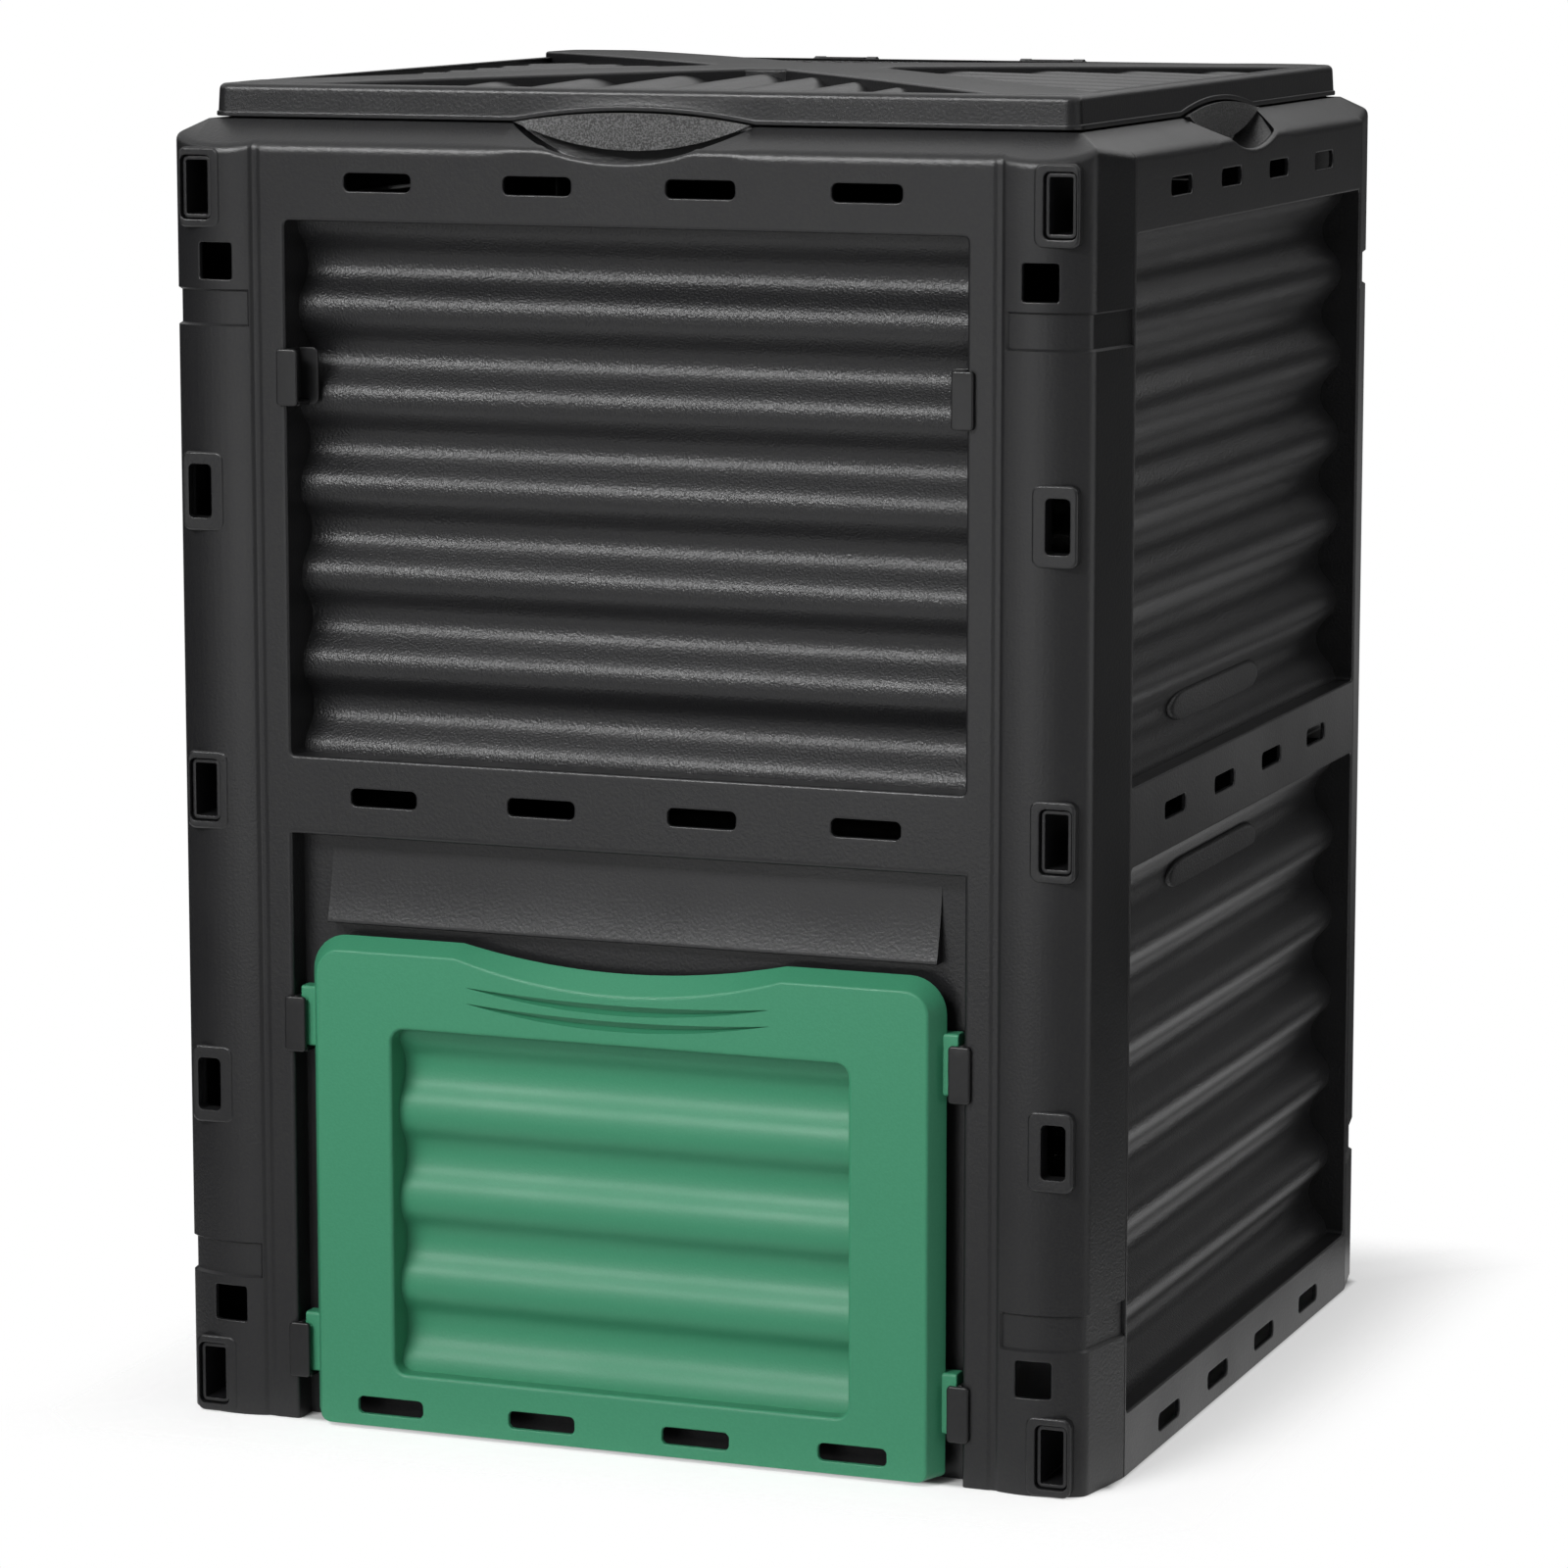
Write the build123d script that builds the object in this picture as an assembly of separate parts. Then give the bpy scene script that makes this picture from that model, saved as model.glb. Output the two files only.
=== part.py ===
from build123d import *
import os
from math import atan2, cos, degrees, radians, tan

# Compost bin, in millimetres. Origin on the ground under the middle of the bin,
# front wall towards -Y, +Z up. Each wall is drawn facing -Y and then turned into place.

# Walls
bin_width = 610.0          # between the outer faces of the two side frames
bin_depth = 610.0          # between the outer faces of the front and back frames
panel_height = 811.0       # from the ground to the seat of the lid
wall = 3.0                 # moulded wall thickness
shoulder_drop = 14.0       # height of the sloping shoulder under the lid
shoulder_run = 24.0        # how far the shoulder leans in
ledge_width = 16.0         # flat ledge that carries the lid
lip_height = 6.5           # upright lip inside the lid
joint_gap = 0.3            # between pieces that plug together

# Corner columns, which belong to the front and back walls
column_width = 64.0        # across the front, from the crease to the side frame
column_return = 55.0       # back from the front frame to the seam with the side wall
column_bulge = 3.0         # how far the round face stands proud of the frame
corner_inset = 9.0         # corner edge, in from the side frame
corner_setback = 7.0       # corner edge, back from the front frame
column_flange = 10.0       # stiffening flange at the seam
groove_depth = 1.2
groove_height = 22.0
groove_from_ends = 100.0   # middle of a groove from the ground and from the shoulder

# Slots, lugs and square holes of the corner joints
slot_count = 5
slot_low = 25.0            # lowest slot's middle, above the ground
slot_high = 26.8           # highest slot's middle, below the shoulder
slot_inset = 27.5          # slot middle, in from the side frame
lug_width = 19.0
lug_height = 38.0
lug_wall = 2.5
lug_corner = 3.5
lug_proud = 1.5            # lug's end, out from the frame's face
lug_play = 4.0             # sideways play of a lug in its slot
plain_slot_width = 15.0
plain_slot_height = 33.0
pad_border = 5.5           # flat pad round a slot
square_size = 22.5
square_corner = 3.5
square_inset = 39.5        # square hole's middle, in from the side frame
square_from_ends = 71.5    # square hole's middle from the ground and from the shoulder

# Wave panels
window_margin = 85.0       # window edge, in from the outer face of the bin
top_band = 46.0            # from the shoulder down to the upper window
mid_band_low = 373.0
mid_band = 49.0
bottom_band = 40.0
wave_count = 6
wave_recess = 19.0         # from the frame's face in to the wave crests
wave_depth = 18.0          # crest to trough
wave_flank = 50.0          # slope of the flanks, degrees from the vertical
plaque_length = 150.0
plaque_height = 20.0
plaque_proud = 2.0

# Air vents
vent_count = 4
vent_inset = 62.5          # end vent's middle, in from the edge of the window
vent_length = 44.0
vent_height = 11.0
vent_corner = 3.5
vent_below_shoulder = 22.0
vent_above_mid_band = 25.0
vent_above_ground = 16.0

# Finger scoops under the lid
scoop_half = 78.0
scoop_drop = 21.0
scoop_depth = 21.0
lid_arch = 7.0

# Doorway and rain hood in the front wall
doorway_recess = 17.6      # from the frame's face in to the doorway wall
doorway_margin = 28.0      # doorway edge, in from the edge of the recess
doorway_sill = 20.0
hood_low = 317.0
hood_high = 363.0
hood_margin = 20.0         # hood end, in from the edge of the recess
hood_proud = 10.5          # lip, out from the doorway wall
hood_hollow = 3.5          # face at mid height, out from the doorway wall

# Door
door_side_gap = 21.0       # front face, in from the edge of the recess
door_top = 311.0           # of the sloping edge, at the back
door_clearance = 3.0       # above the ground
door_proud = 9.0           # front face, out from the frame's face
door_bevel = 9.0           # sloping edge, seen from the front
door_depth = 14.0
door_corner = 14.0
door_foot_corner = 4.5
door_dip_half = 107.0
door_dip = 12.0
door_border = 49.0         # from the side of the front face in to the door's window
door_window_low = 38.0
door_window_high = 256.0
door_wave_count = 4
door_wave_recess = 12.0
door_wave_depth = 14.0
door_vent_inset = 46.0     # end vent's middle, in from the side of the front face
grip_half = 100.0
grip_drop = 5.0
grip_height = 4.0
grip_depth = 1.5
grip_tops = (286.0, 276.0)

# Door lugs and the hooks that hold them
hook_height = 35.0
hook_reach = 9.0           # over the recess, from its edge
hook_overlap = 5.0         # on the frame's face
hook_plate = 3.5
hook_leg = 3.0
hook_leg_depth = 15.0
hook_peg = 6.0
lower_hooks = (28.0, 236.0)
upper_hook_drop = 113.0    # foot of an upper hook, below the top of the upper window
door_lug_height = 38.0
door_lug_front = 2.0       # from the frame's face in to the lug
door_lug_thick = 12.0
door_lug_gap = 1.0         # between the lug and the hook's leg

# Lid and its hinges
lid_rim = 21.0
lid_setback = 1.0          # from the shoulder's edge in to the lid
lid_draft = 4.0            # degrees
lid_corner = 10.0
lid_border = 14.0
lid_band = 66.0
lid_band_rise = 4.0        # cross bands above the border
lid_hub = 62.0             # radius of the flat middle
lid_field_drop = 3.0       # wave crests below the border
lid_wave_count = 12
lid_wave_depth = 7.0
lid_wave_flank = 35.0
hinge_spacing = 150.0
hinge_back = 11.0          # pin behind the lid's edge
hinge_rise = 16.0          # pin above the lid's seat
knuckle_radius = 8.0
knuckle_length = 30.0
ear_thick = 7.0
ear_gap = 0.5
pin_radius = 3.0
pin_clearance = 0.05
pin_head_radius = 5.0
pin_head = 2.0

half_width = bin_width / 2
half_depth = bin_depth / 2
shoulder_z = panel_height - shoulder_drop
window_top = shoulder_z - top_band
window_low = mid_band_low + mid_band
upper_hook = window_top - upper_hook_drop
seam = half_depth - column_return
lid_half_x = half_width - shoulder_run - lid_setback
lid_half_y = half_depth - shoulder_run - lid_setback
mouth_half_x = half_width - shoulder_run - ledge_width
mouth_half_y = half_depth - shoulder_run - ledge_width
door_front = -half_depth - door_proud
window_half = half_width - window_margin
door_half = window_half - door_side_gap
far = 2 * max(bin_width, bin_depth, panel_height)
past = 1.0                 # how far a cut runs past the face that it opens


def block(x0, x1, y0, y1, z0, z1):
    """A box between two corners."""
    middle = ((x0 + x1) / 2, (y0 + y1) / 2, (z0 + z1) / 2)
    return Pos(*middle) * Box(x1 - x0, y1 - y0, z1 - z0)


def window(half, low, high, grow=0.0):
    """A rectangle of X and Z, centred on X = 0."""
    return Pos(0, (low + high) / 2) * Rectangle(2 * (half + grow), high - low + 2 * grow)


def across(sketch, y0, y1):
    """A sketch of X and Z, carried from y0 back to y1."""
    return extrude(Plane.XZ.offset(-y1) * sketch, amount=y1 - y0)


def along(sketch, x0, x1):
    """A sketch of Y and Z, carried from x0 to x1."""
    return extrude(Plane.YZ.offset(x0) * sketch, amount=x1 - x0)


def wave_strip(low, pitch, count, crest, depth, flank, thickness):
    """Section of a wavy sheet: straight flanks and round crests and troughs.

    The first coordinate is how deep the sheet lies, the second runs across the waves. A crest
    stands at each end, and half a wave runs on past both so that the sheet can be cut to size.
    """
    rise = pitch / 2 * tan(radians(flank))
    radius = (rise - depth) / 2 / (1 / cos(radians(flank)) - 1)
    overshoot = (rise - depth) / 2
    points = []
    for k in range(-1, 2 * count + 2):
        apex = crest - overshoot if k % 2 == 0 else crest + depth + overshoot
        points.append((apex, low + k * pitch / 2))
    front = FilletPolyline(*points, radius=radius)
    back = Pos(thickness, 0) * front
    ends = [Line(front @ 0, back @ 0), Line(front @ 1, back @ 1)]
    return make_face(front.edges() + back.edges() + ends)


def wave_panel(half, low, high, face_y, count, recess, depth):
    """A wavy sheet with its waves running along X, set back in a box open to the front."""
    pitch = (high - low) / count
    sheet = wall / cos(radians(wave_flank))
    section = wave_strip(low, pitch, count, face_y + recess, depth, wave_flank, sheet)
    back = face_y + recess + depth + sheet
    trim = Pos((face_y + back) / 2, (low + high) / 2) * Rectangle(back - face_y, high - low + 2 * wall)
    waves = along(section & trim, -half - wall, half + wall)
    box = across(window(half, low, high, wall) - window(half, low, high), face_y, back)
    return [waves, box]


def vent_row(z, reach):
    """One row of air vents, as outlines of X and Z, with the end ones at -reach and reach."""
    slot = RectangleRounded(vent_length, vent_height, vent_corner)
    pitch = 2 * reach / (vent_count - 1)
    return [Pos(k * pitch - reach, z) * slot for k in range(vent_count)]


def scoop_shape(half, drop, top):
    """A shallow bowl outline hanging from the line z = top."""
    chord = Line((-half, top), (half, top))
    bowl = ThreePointArc((-half, top), (0, top - drop), (half, top))
    return make_face([chord, bowl])


def slope_solid(run_on):
    """Everything under the sloping shoulder, whose slope runs on past the frames."""
    low_z = shoulder_z - shoulder_drop * run_on / shoulder_run
    low = Pos(0, 0, low_z) * Rectangle(bin_width + 2 * run_on, bin_depth + 2 * run_on)
    top = Rectangle(bin_width - 2 * shoulder_run, bin_depth - 2 * shoulder_run)
    slope = loft([low, Pos(0, 0, panel_height) * top])
    return slope + extrude(low, amount=-low_z)


def shoulder_ring(under_slope):
    """The sloping shoulder, the lid's ledge and the lip, as one ring round the mouth."""
    ring = under_slope - Pos(0, 0, -wall) * under_slope
    ring = ring & block(-half_width, half_width, -half_depth, half_depth, shoulder_z, panel_height)
    mouth = block(-mouth_half_x, mouth_half_x, -mouth_half_y, mouth_half_y, 0, far)
    lip = block(-mouth_half_x - wall, mouth_half_x + wall, -mouth_half_y - wall, mouth_half_y + wall,
                panel_height - wall, panel_height + lip_height)
    return ring + lip - mouth


def column_points():
    """Plan of the front right column's outer face: crease, crown, corner edge and seam."""
    crease = Vector(half_width - column_width, -half_depth)
    corner = Vector(half_width - corner_inset, -half_depth + corner_setback)
    crown = Vector((crease.X + corner.X) / 2, -half_depth - column_bulge)
    return crease, crown, corner, Vector(half_width, -seam)


def column_plan(outwards, inwards):
    """Plan of the front right column's wall, between two offsets from its outer face."""
    crease, crown, corner, end = column_points()
    middle = ThreePointArc(crease, crown, corner).arc_center

    def curve(distance):
        moved = [p + (p - middle).normalized() * distance for p in (crease, crown, corner)]
        return ThreePointArc(*moved)

    outer = curve(outwards)
    inner = curve(-inwards)
    outer_end = end + Vector(outwards, 0)
    inner_end = end - Vector(inwards, 0)
    sides = Polyline(outer @ 1, outer_end, inner_end, inner @ 1)
    return make_face([outer, inner, Line(inner @ 0, outer @ 0)] + sides.edges())


def wall_plan():
    """Plan of all that lies behind the front wall's outer face, back to the seams."""
    crease, crown, corner, end = column_points()
    rest = Polyline(corner, end, (0, end.Y), (0, crease.Y), crease)
    right = make_face([ThreePointArc(crease, crown, corner)] + rest.edges())
    return right + mirror(right, about=Plane.YZ)


def slot_heights():
    """The middles of a column's slots, spaced evenly between the lowest and the highest."""
    pitch = (shoulder_z - slot_high - slot_low) / (slot_count - 1)
    return [slot_low + k * pitch for k in range(slot_count)]


def column(under_slope):
    """The front right corner column, with its slots, pads, square holes and grooves."""
    post = extrude(column_plan(0, wall), amount=panel_height) & under_slope
    flange = block(half_width - wall - column_flange, half_width - wall / 2, -seam - wall, -seam,
                   0, shoulder_z)
    slot_x = half_width - slot_inset
    front = -half_depth - column_bulge
    root = -half_depth + corner_setback
    pad = RectangleRounded(lug_width + lug_play + pad_border, lug_height + 2 * pad_border, pad_border)
    pads = []
    holes = []
    for k, z in enumerate(slot_heights()):
        holds_lug = k % 2 == 0
        width = lug_width + lug_play if holds_lug else plain_slot_width
        height = lug_height + 2 * joint_gap if holds_lug else plain_slot_height
        shift = lug_play / 2 - joint_gap if holds_lug else 0
        slot = RectangleRounded(width, height, lug_corner)
        pads.append(across(Pos(slot_x - lug_play / 2, z) * pad, front, root))
        holes.append(across(Pos(slot_x - shift, z) * slot, front - past, root + wall))
    square = RectangleRounded(square_size, square_size, square_corner)
    for z in (square_from_ends, shoulder_z - square_from_ends):
        holes.append(across(Pos(half_width - square_inset, z) * square, front - past, root + wall))
    groove = column_plan(2 * column_bulge, groove_depth)
    for z in (groove_from_ends, shoulder_z - groove_from_ends):
        holes.append(extrude(Pos(0, 0, z - groove_height / 2) * groove, amount=groove_height))
    return post + pads + [flange] - holes


def scoop_cutter(face):
    """What a finger scoop takes out of a wall's frame and shoulder."""
    return across(scoop_shape(scoop_half, scoop_drop, panel_height), face - past, face + scoop_depth)


def scoop_pocket(face, under_slope):
    """The bowl of a finger scoop, behind the frame and under the shoulder."""
    outer = scoop_shape(scoop_half + wall, scoop_drop + wall, panel_height)
    rim = outer - scoop_shape(scoop_half, scoop_drop, panel_height)
    back = face + scoop_depth
    return (across(rim, face, back) + across(outer, back, back + wall)) & under_slope


def frame_plate(half, face, openings):
    """A wall's flat frame, with its windows, vents and scoop left open."""
    return across(window(half, 0, shoulder_z) - openings, face, face + wall)


def band_vents(half):
    """The vents in the top band and the middle band of a wall, over its windows."""
    top_row = vent_row(shoulder_z - vent_below_shoulder, half - vent_inset)
    return top_row + vent_row(mid_band_low + vent_above_mid_band, half - vent_inset)


def column_wall(openings, additions, shoulder, post):
    """A front or back wall: its frame, both columns and its length of shoulder."""
    flat_half = half_width - column_width + column_bulge + wall
    face = -half_depth
    upper = window(window_half, window_low, window_top)
    frame = frame_plate(flat_half, face, [upper] + band_vents(window_half) + openings)
    crown = shoulder & extrude(wall_plan(), amount=far)
    waves = wave_panel(window_half, window_low, window_top, face, wave_count, wave_recess, wave_depth)
    return frame + [post, mirror(post, about=Plane.YZ), crown] + waves + additions


def hook_peg_solid(side, low, radius):
    """A hook's peg, or the hole for it, through the side wall of the front recess."""
    y = -half_depth + hook_leg_depth / 2
    turned = Rot(0, 90, 0) * Cylinder(radius, wall + past)
    return Pos(side * (window_half + wall / 2), y, low + hook_height / 2) * turned


def front_panel(shoulder, post, under_slope):
    """The front wall, with the door's recess, the doorway in it and the rain hood above."""
    face = -half_depth
    back = face + doorway_recess
    recess = window(window_half, -wall, mid_band_low)
    scoop = scoop_shape(scoop_half, scoop_drop, panel_height)
    rim = window(window_half + wall, 0, mid_band_low + wall)
    doorway = window(window_half - doorway_margin, doorway_sill, hood_low)
    surround = across(rim - recess, face, back) + across(rim - doorway, back, back + wall)
    lip = (back - hood_proud, hood_low + wall / 2)
    root = (back, hood_high)
    bend = (back - hood_hollow, (hood_low + hood_high) / 2)
    inside = Polyline(lip, (lip[0], hood_low), (back + wall, hood_low), (back + wall, hood_high), root)
    section = make_face([ThreePointArc(root, bend, lip)] + inside.edges())
    hood = along(section, hood_margin - window_half, window_half - hood_margin)
    additions = [surround, hood, scoop_pocket(face, under_slope)]
    holes = [hook_peg_solid(side, low, hook_peg / 2 + pin_clearance)
             for side in (-1, 1) for low in lower_hooks + (upper_hook,)]
    return column_wall([recess, scoop], additions, shoulder - scoop_cutter(face), post) - holes


def hinge_point():
    """The hinge axis, as Y and Z, on a wall that still faces the front."""
    return -lid_half_y - hinge_back, panel_height + hinge_rise


def hinge_ears():
    """The upright ears of both hinges, rising from the shoulder, with their pin holes."""
    y, z = hinge_point()
    foot = panel_height - shoulder_drop
    post = Pos(y, (foot + z) / 2) * Rectangle(2 * knuckle_radius, z - foot)
    outline = post + Pos(y, z) * Circle(knuckle_radius) - Pos(y, z) * Circle(pin_radius + pin_clearance)
    ears = []
    for side in (-1, 1):
        for end in (-1, 1):
            x = side * hinge_spacing / 2 + end * (knuckle_length + 2 * ear_gap + ear_thick) / 2
            ears.append(along(outline, x - ear_thick / 2, x + ear_thick / 2))
    return ears


def back_panel(shoulder, post):
    """The back wall, with a second wave panel, vents under it and the hinge ears."""
    openings = vent_row(vent_above_ground, window_half - vent_inset)
    openings.append(window(window_half, bottom_band, mid_band_low))
    waves = wave_panel(window_half, bottom_band, mid_band_low, -half_depth,
                       wave_count, wave_recess, wave_depth)
    return Rot(0, 0, 180) * column_wall(openings, waves + hinge_ears(), shoulder, post)


def side_lugs(face, edge):
    """The flanges at both edges of a side wall and the hollow lugs that stand on them."""
    tube = RectangleRounded(lug_width, lug_height, lug_corner)
    bore = RectangleRounded(lug_width - 2 * lug_wall, lug_height - 2 * lug_wall, lug_corner - lug_wall)
    depth = slot_inset + lug_width / 2 + wall
    lug_end = half_depth + lug_proud
    strip = Pos(face + depth / 2, shoulder_z / 2) * Rectangle(depth, shoulder_z)
    places = [Pos(face + slot_inset, z) for z in slot_heights()[::2]]
    flange = along(strip - [p * bore for p in places], edge - wall, edge)
    lugs = [along(p * (tube - bore), edge, lug_end) for p in places]
    right = flange + lugs
    return [right, mirror(right, about=Plane.YZ)]


def side_wall(shoulder, under_slope):
    """A side wall, facing -Y: two wave panels, a finger scoop, blank plaques, flanges and lugs."""
    edge = seam - joint_gap
    half = edge - wall
    face = -half_width
    turn = Rot(0, 0, -90)
    vent_half = half_depth - window_margin
    openings = band_vents(vent_half) + vent_row(vent_above_ground, vent_half - vent_inset)
    openings.append(scoop_shape(scoop_half, scoop_drop, panel_height))
    pieces = side_lugs(face, edge)
    for low, high in ((window_low, window_top), (bottom_band, mid_band_low)):
        openings.append(window(half, low, high))
        pieces += wave_panel(half, low, high, face, wave_count, wave_recess, wave_depth)
    crown = (turn * shoulder) & block(-edge, edge, -far, 0, 0, far)
    pieces += [crown - scoop_cutter(face), scoop_pocket(face, turn * under_slope)]
    crest = face + wave_recess
    plaque = SlotOverall(plaque_length, plaque_height)
    for z in (window_low + plaque_height, mid_band_low - plaque_height):
        pieces.append(across(Pos(0, z) * plaque, crest - plaque_proud, crest + wave_depth / 2))
    return frame_plate(edge, face, openings) + pieces


def door_outline(grow):
    """The door's outline seen from the front, grown outwards, with the dip of its handle."""
    half = door_half + grow
    low = door_clearance
    top = door_top - door_bevel + grow
    dip_left = (-door_dip_half, top)
    dip_right = (door_dip_half, top)
    dip = ThreePointArc(dip_left, (0, top - door_dip), dip_right)
    radii = [door_corner, door_foot_corner, door_foot_corner, door_corner]
    rest = FilletPolyline(dip_right, (half, top), (half, low), (-half, low), (-half, top), dip_left,
                          radius=radii)
    return make_face(dip.edges() + rest.edges())


def door_block(inset, front, back):
    """The door as a solid whose edges slope out towards the back."""
    slope = door_bevel / door_depth
    sections = [Plane.XZ.offset(-y) * door_outline((y - door_front) * slope - inset) for y in (front, back)]
    return loft(sections, ruled=True)


def grip_shape(top):
    """A crescent finger groove under the door's top edge."""
    upper = ThreePointArc((-grip_half, top), (0, top - grip_drop), (grip_half, top))
    lower = ThreePointArc((-grip_half, top), (0, top - grip_drop - grip_height), (grip_half, top))
    return make_face([upper, lower])


def door():
    """The lift-out door: a bevelled frame, its wave panel, vents, finger grooves and side lugs."""
    back = door_front + door_depth
    shell = door_block(0, door_front, back) - door_block(wall, door_front + wall, back)
    half = door_half - door_border
    openings = vent_row(vent_above_ground, door_half - door_vent_inset)
    openings.append(window(half, door_window_low, door_window_high))
    cuts = [across(o, door_front - past, door_front + wall + past) for o in openings]
    cuts += [across(grip_shape(top), door_front - past, door_front + grip_depth) for top in grip_tops]
    pieces = wave_panel(half, door_window_low, door_window_high, door_front,
                        door_wave_count, door_wave_recess, door_wave_depth)
    lug_front = -half_depth + door_lug_front
    lug_tip = window_half - hook_leg - door_lug_gap
    lug_root = door_half + door_bevel / 2
    for low in lower_hooks:
        foot = low + hook_leg + joint_gap
        lug = block(lug_root, lug_tip, lug_front, lug_front + door_lug_thick, foot, foot + door_lug_height)
        pieces += [lug, mirror(lug, about=Plane.YZ)]
    return shell - cuts + pieces


def hook(side, low):
    """A door hook: a plate over the recess edge, a leg down the recess wall, a shelf and a peg."""
    edge = window_half
    face = -half_depth
    plate = block(edge - hook_reach, edge + hook_overlap, face - hook_plate, face, low, low + hook_height)
    leg = block(edge - hook_leg, edge, face, face + hook_leg_depth, low, low + hook_height)
    shelf = block(edge - hook_reach, edge, face, face + hook_leg_depth, low, low + hook_leg)
    right = plate + [leg, shelf, hook_peg_solid(1, low, hook_peg / 2)]
    return right if side > 0 else mirror(right, about=Plane.YZ)


def lid_cross(half_x, half_y, band, hub):
    """Plan of the lid's two bands, from corner to corner, and the flat disc in the middle."""
    turn = degrees(atan2(half_y, half_x))
    reach = Rectangle(far, band)
    return Circle(hub) + [Rot(0, 0, turn) * reach, Rot(0, 0, -turn) * reach]


def lid_fields(crest_z, half_x, half_y):
    """The lid's wavy fields: ridges from front to back, and from side to side at the flanks."""
    plane = Plane((0, 0, crest_z), x_dir=(0, 0, -1), z_dir=(0, 1, 0))
    bite = wall / 2
    fields = []
    for half, other, turn in ((half_x, half_y, 0), (half_y, half_x, 90)):
        pitch = 2 * half / lid_wave_count
        strip = wave_strip(-half, pitch, lid_wave_count, 0, lid_wave_depth, lid_wave_flank, wall)
        edge = other + bite
        wedge = make_face(Polyline((0, 0), (half + bite, edge), (-half - bite, edge), close=True))
        wedge = wedge - lid_cross(half, other, lid_band - wall, lid_hub - bite)
        field = extrude(plane * strip, amount=edge) & extrude(wedge, amount=far)
        fields += [Rot(0, 0, turn) * field, Rot(0, 0, turn + 180) * field]
    return fields


def lid():
    """The lid: a rim, a border, cross bands over wavy fields, arches over the scoops, knuckles."""
    low = panel_height + joint_gap
    top = low + lid_rim
    field_x = lid_half_x - lid_border
    field_y = lid_half_y - lid_border
    deck = top - lid_field_drop - lid_wave_depth - wall
    plan = RectangleRounded(2 * lid_half_x, 2 * lid_half_y, lid_corner)
    inner = RectangleRounded(2 * (lid_half_x - wall), 2 * (lid_half_y - wall), lid_corner - wall)
    field = Rectangle(2 * field_x, 2 * field_y)
    curb = Rectangle(2 * (field_x + wall), 2 * (field_y + wall)) - field
    outer = extrude(Pos(0, 0, low) * plan, amount=lid_rim, taper=lid_draft)
    hollow = extrude(Pos(0, 0, low) * inner, amount=lid_rim - wall, taper=lid_draft)
    shell = outer - [hollow, extrude(Pos(0, 0, low) * field, amount=far)]
    within = Rectangle(2 * (lid_half_x - wall), 2 * (lid_half_y - wall))
    cross = lid_cross(field_x, field_y, lid_band, lid_hub) & within
    bands = extrude(Pos(0, 0, deck) * cross, amount=top + lid_band_rise - deck)
    under = lid_cross(field_x, field_y, lid_band - 2 * wall, lid_hub - wall) & field
    channel = extrude(Pos(0, 0, low) * under, amount=lid_rim + lid_band_rise - wall)
    curb_wall = extrude(Pos(0, 0, deck) * curb, amount=top - wall / 2 - deck)
    shell = shell + [bands, curb_wall] + lid_fields(top - lid_field_drop, field_x, field_y)
    arch = Pos(0, low) * mirror(scoop_shape(scoop_half, lid_arch, 0), about=Plane.XZ)
    cuts = [channel, across(arch, -far, -mouth_half_y - wall)]
    cuts += [Rot(0, 0, turn) * across(arch, -far, -mouth_half_x - wall) for turn in (90, -90)]
    y, z = hinge_point()
    hinges = []
    for x in (-hinge_spacing / 2, hinge_spacing / 2):
        neck = block(x - knuckle_length / 2, x + knuckle_length / 2, lid_half_y - wall, -y,
                     z - knuckle_radius, z + knuckle_radius)
        place = Pos(x, -y, z) * Rot(0, 90, 0)
        hinges += [neck, place * Cylinder(knuckle_radius, knuckle_length)]
        cuts.append(place * Cylinder(pin_radius + pin_clearance, knuckle_length + 2 * past))
    return shell + hinges - cuts


def hinge_pin(side):
    """A hinge pin with a flat head at its outer end."""
    y, z = hinge_point()
    span = knuckle_length + 2 * (ear_gap + ear_thick)
    head = Pos(0, 0, side * (span + pin_head) / 2) * Cylinder(pin_head_radius, pin_head)
    shaft = Cylinder(pin_radius, span)
    return Pos(side * hinge_spacing / 2, -y, z) * Rot(0, 90, 0) * (shaft + head)


under_slope = slope_solid(2 * column_bulge)
shoulder = shoulder_ring(under_slope)
post = column(under_slope)
side = side_wall(shoulder, under_slope)

pieces = {
    "front_panel": front_panel(shoulder, post, under_slope),
    "back_panel": back_panel(shoulder, post),
    "right_panel": Rot(0, 0, 90) * side,
    "left_panel": Rot(0, 0, -90) * side,
    "lid": lid(),
    "door": door(),
}
for name, sign in (("left", -1), ("right", 1)):
    pieces["hinge_pin_" + name] = hinge_pin(sign)
    pieces["hook_upper_" + name] = hook(sign, upper_hook)
    for place, low in zip(("bottom", "top"), lower_hooks):
        pieces["hook_lower_" + name + "_" + place] = hook(sign, low)

os.makedirs("parts", exist_ok=True)
for name, piece in pieces.items():
    export_step(piece, "parts/" + name + ".step")
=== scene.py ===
import math

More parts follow.
